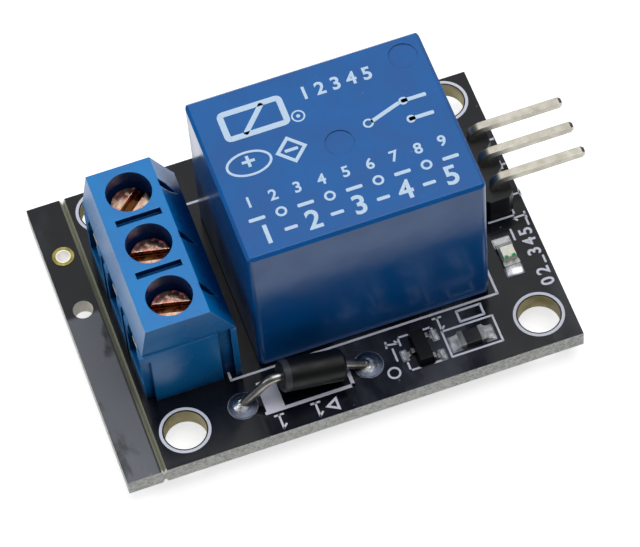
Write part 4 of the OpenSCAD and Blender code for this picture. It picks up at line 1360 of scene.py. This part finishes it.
class Dresser:
    """Gives every CAD node its finish."""

    def __init__(self, effects: Effects) -> None:
        """Keeps the shared node groups."""
        self.effects = effects

    def coat(self, finish: Finish, *nodes: str) -> None:
        """Puts one finish on some nodes.

        Args:
            finish: The finish.
            nodes: Names of the CAD nodes.
        """
        material = finish.material(self.effects)
        for name in nodes:
            slots = FRAME["nodes"][name].data.materials
            slots.clear()
            slots.append(material)
            LOG.info("node %s: %s", name, material.name)

    def dress_relay(self) -> None:
        """Case, base and the motor inside."""
        # The third colour of each moulding is its painted edge highlight
        blue = Moulding(
            "relay_blue", tone(8, 92, 164), tone(6, 84, 154), tone(60, 124, 190),
            roughness=0.2, gloss=0.4, dust=0.2,
        )
        base = Moulding(
            "relay_base_blue", tone(38, 60, 104), tone(26, 42, 80), tone(70, 96, 146), roughness=0.6
        )
        nylon = Moulding(
            "bobbin_nylon", tone(232, 224, 204), tone(214, 204, 182), tone(240, 236, 222), roughness=0.5
        )
        iron = DrawnMetal("zinced_iron", tone(186, 190, 196), tone(140, 144, 152), roughness=0.36)
        bronze = DrawnMetal("spring_bronze", tone(226, 176, 118), tone(186, 132, 84), roughness=0.3)
        silver = DrawnMetal("contact_silver", tone(238, 238, 236), tone(190, 190, 188), roughness=0.2)
        brass = DrawnMetal(
            "tinned_brass", tone(216, 202, 160), tone(176, 160, 118), roughness=0.32, run=Run.ALONG_Z
        )
        self.coat(blue, "relay_case")
        self.coat(base, "relay_base")
        self.coat(nylon, "relay_bobbin")
        self.coat(Winding("copper_winding"), "relay_coil")
        self.coat(iron, "relay_core", "relay_yoke", "relay_armature")
        self.coat(bronze, "relay_spring")
        self.coat(silver, "relay_moving_contact", "relay_nc_contact", "relay_no_contact")
        self.coat(brass, "relay_nc_terminal", "relay_no_terminal", "relay_common_terminal")

    def dress_terminal(self) -> None:
        """Housing, cages, plates and screws."""
        # The housing gets painted shade deep in its slots and wells, and its third colour is a painted edge
        # highlight
        blue = Moulding(
            "terminal_blue", tone(5, 124, 196), tone(3, 114, 186), tone(70, 156, 220),
            roughness=0.25, gloss=0.45, dust=0.14, recess_shade=0.95,
        )
        steel = DrawnMetal("folded_steel", tone(240, 238, 228), tone(204, 202, 190), roughness=0.42)
        bronze = DrawnMetal("plate_bronze", tone(222, 184, 132), tone(170, 132, 88), roughness=0.34)
        self.coat(blue, "terminal_housing")
        self.coat(steel, *(f"terminal_cage_{n}" for n in (1, 2, 3)))
        self.coat(bronze, *(f"clamp_plate_{n}" for n in (1, 2, 3)))
        for n in (1, 2, 3):
            low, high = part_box(f"clamp_screw_{n}")
            self.coat(TurnedMetal(f"screw_film_{n}", middle(low, high), high.z), f"clamp_screw_{n}")

    def dress_board(self) -> None:
        """Board, rail eyelet and all solder."""
        low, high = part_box("circuit_board")
        self.coat(MaskedLaminate("masked_laminate", tuple(low), tuple(high)), "circuit_board")
        ring_low, ring_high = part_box("rail_eyelet")
        self.coat(PlatedEyelet("plated_eyelet", middle(ring_low, ring_high)), "rail_eyelet")
        self.coat(Melt("frozen_solder"), "relay_solder", "terminal_solder", "header_solder")
        chips = Melt(
            "chip_melt", tone(255, 255, 255), tone(152, 155, 163),
            roughness=0.3, lumps=2400.0, relief_mm=0.07, metal=0.3,
        )
        self.coat(chips, "chip_solder")
        low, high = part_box("diode_solder")
        radius, y = (high.y - low.y) / 2, (low.y + high.y) / 2
        self.coat(WettedPad("wetted_pad", ((low.x + radius, y), (high.x - radius, y))), "diode_solder")

    def dress_small_parts(self) -> None:
        """Header, diode, transistor, resistor and lamp."""
        # The third colour of each moulding is its painted edge highlight
        black = Moulding(
            "header_black", tone(9, 10, 13), tone(5, 6, 8), tone(46, 48, 52), gloss=0.35, dust=0.12
        )
        epoxy = Moulding(
            "chip_epoxy", tone(6, 7, 10), tone(3, 4, 6), tone(34, 36, 40),
            roughness=0.38, gloss=0.22, dust=0.08,
        )
        film = Moulding(
            "resistor_film", tone(26, 28, 30), tone(17, 19, 21), tone(80, 86, 84),
            roughness=0.34, gloss=0.4, dust=0.15,
        )
        laminate = Moulding(
            "lamp_laminate", tone(226, 222, 196), tone(206, 200, 172), tone(240, 238, 220), roughness=0.5
        )
        wire = DrawnMetal(
            "tinned_wire", tone(196, 194, 188), tone(138, 137, 133), roughness=0.33, roughness_run=0.12,
            relief_mm=0.0006,
        )
        tin = DrawnMetal("pin_tin", tone(196, 193, 182), tone(168, 163, 150), roughness=0.34)
        cap = DrawnMetal("chip_tin", tone(156, 158, 156), tone(98, 100, 101), roughness=0.36)
        self.coat(black, "header_block")
        self.coat(epoxy, "transistor_body")
        self.coat(film, "resistor_body")
        self.coat(laminate, "lamp_base")
        self.coat(ClearEpoxy("lamp_resin"), "lamp_lens")
        self.coat(tin, "header_pin_1", "header_pin_2", "header_pin_3")
        self.coat(wire, "diode_lead_a", "diode_lead_b", "relay_coil_pins", "transistor_leads")
        self.coat(cap, "resistor_ends", "lamp_terminals")
        low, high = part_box("diode_body")
        banded = BandedEpoxy(
            "diode_epoxy", tuple((low + high) / 2), slant_deg=-13.0, band_start_mm=-2.75, band_end_mm=-1.98
        )
        self.coat(banded, "diode_body")


# ---- Studio ----


@dataclass
class Studio:
    """Pale floor, soft light and the camera."""

    aim_mm: tuple[float, float, float] = (-0.49, -3.02, 5.0)
    azimuth: float = -14.65
    elevation: float = 57.69
    roll: float = -5.49
    distance_mm: float = 305.0
    lens: float = 218.5
    shift: tuple[float, float] = (-0.0029, -0.0038)
    sensor: float = 36.0
    clip: tuple[float, float] = (0.01, 10.0)
    floor_size: float = 4.0
    floor_gap_mm: float = 0.2
    floor_lift: float = 0.74
    near_mm: float = 30.0
    far_mm: float = 62.0
    surroundings: float = 0.1

    def build(self) -> None:
        """Builds the floor, the world, the lamps and the camera."""
        self.build_camera()
        self.build_floor()
        self.build_world()
        self.add_lamp("key", (0.05, -0.01, 0.36), size=0.32, power=0.98)
        self.add_lamp("ceiling", (0.068, 0.26, 0.42), size=0.4, power=0.44)
        self.add_lamp("fill", (-0.26, 0.10, 0.2), size=0.16, power=0.3)
        LOG.info("studio built")

    def build_camera(self) -> None:
        """Places the camera by its azimuth, elevation and roll round the aim."""
        deselect()
        bpy.ops.object.camera_add()
        camera = bpy.context.active_object
        camera.name = "camera"
        around, up = math.radians(self.azimuth), math.radians(self.elevation)
        back = Vector((math.sin(around) * math.cos(up), -math.cos(around) * math.cos(up), math.sin(up)))
        camera.rotation_mode = "QUATERNION"
        turn = (-back).to_track_quat("-Z", "Y").to_matrix() @ Matrix.Rotation(math.radians(self.roll), 3, "Z")
        camera.rotation_quaternion = turn.to_quaternion()
        camera.location = Vector(self.aim_mm) * MM + back * self.distance_mm * MM
        camera.data.lens = self.lens
        camera.data.sensor_width = self.sensor
        camera.data.shift_x, camera.data.shift_y = self.shift
        camera.data.clip_start, camera.data.clip_end = self.clip
        bpy.context.scene.camera = camera

    def build_floor(self) -> None:
        """Adds the pale floor under the lowest pin."""
        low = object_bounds()[0]
        deselect()
        place = (0, 0, low.z - self.floor_gap_mm * MM)
        bpy.ops.mesh.primitive_plane_add(size=self.floor_size, location=place)
        floor = bpy.context.active_object
        floor.name = "floor"
        paper = Coating("floor_paper")
        paper.fix({"Specular IOR Level": 0.1, "Emission Color": (1.0, 1.0, 1.0, 1.0)})
        grain = paper.noise(paper.place(), 4.0, 3.0)
        path = paper.node("LightPath").outputs
        reach = paper.vector("LENGTH", paper.place(), output="Value")
        near = paper.step(reach, self.far_mm * MM, self.near_mm * MM)
        mirrored = paper.math("MAXIMUM", path["Is Glossy Ray"], path["Is Transmission Ray"])
        seen = paper.math("MAXIMUM", path["Is Camera Ray"], paper.times(mirrored, near))
        for label, value in (
            ("Base Color", paper.mix(grain, tone(194, 194, 194), tone(198, 198, 198))),
            ("Roughness", paper.spread(grain, 0.85, 0.95)),
            ("Emission Strength", paper.times(seen, self.floor_lift)),
        ):
            paper.feed(value, paper.shader[label])
        floor.data.materials.append(paper.material)
        floor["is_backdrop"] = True

    def build_world(self) -> None:
        """Dim even surroundings, so that the lamps and the floor do most of the lighting."""
        world = bpy.data.worlds.new("surroundings")
        bpy.context.scene.world = world
        world.use_nodes = True
        sheet = Sheet(world.node_tree)
        background = sheet.node("Background", {"Color": (1, 1, 1, 1), "Strength": self.surroundings})
        sheet.node("OutputWorld", {"Surface": background.outputs[0]})

    def add_lamp(self, name: str, place: Sequence[float], size: float, power: float) -> None:
        """Adds a square soft lamp that faces the object.

        Args:
            name: Name of the lamp.
            place: Its place in metres.
            size: Side of the lamp in metres.
            power: Its power in watts.
        """
        deselect()
        bpy.ops.object.light_add(type="AREA", location=place)
        lamp = bpy.context.active_object
        lamp.name = name
        lamp.data.size = size
        lamp.data.energy = power
        lamp.rotation_mode = "QUATERNION"
        lamp.rotation_quaternion = (-Vector(place)).to_track_quat("-Z", "Y")


def main() -> None:
    """Loads the model, dresses it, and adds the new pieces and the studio."""
    logging.basicConfig(level=logging.INFO, format="%(message)s")
    FRAME.update(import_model())
    bpy.context.scene.view_settings.view_transform = "Standard"
    Studio().build()
    effects = Effects()
    dresser = Dresser(effects)
    dresser.dress_relay()
    dresser.dress_terminal()
    dresser.dress_board()
    dresser.dress_small_parts()
    BoardPrint().build(effects)
    RelayPrint().build(effects)
    LampMarks().build(effects)
    Pads().build(effects)


if __name__ == "__main__":
    main()
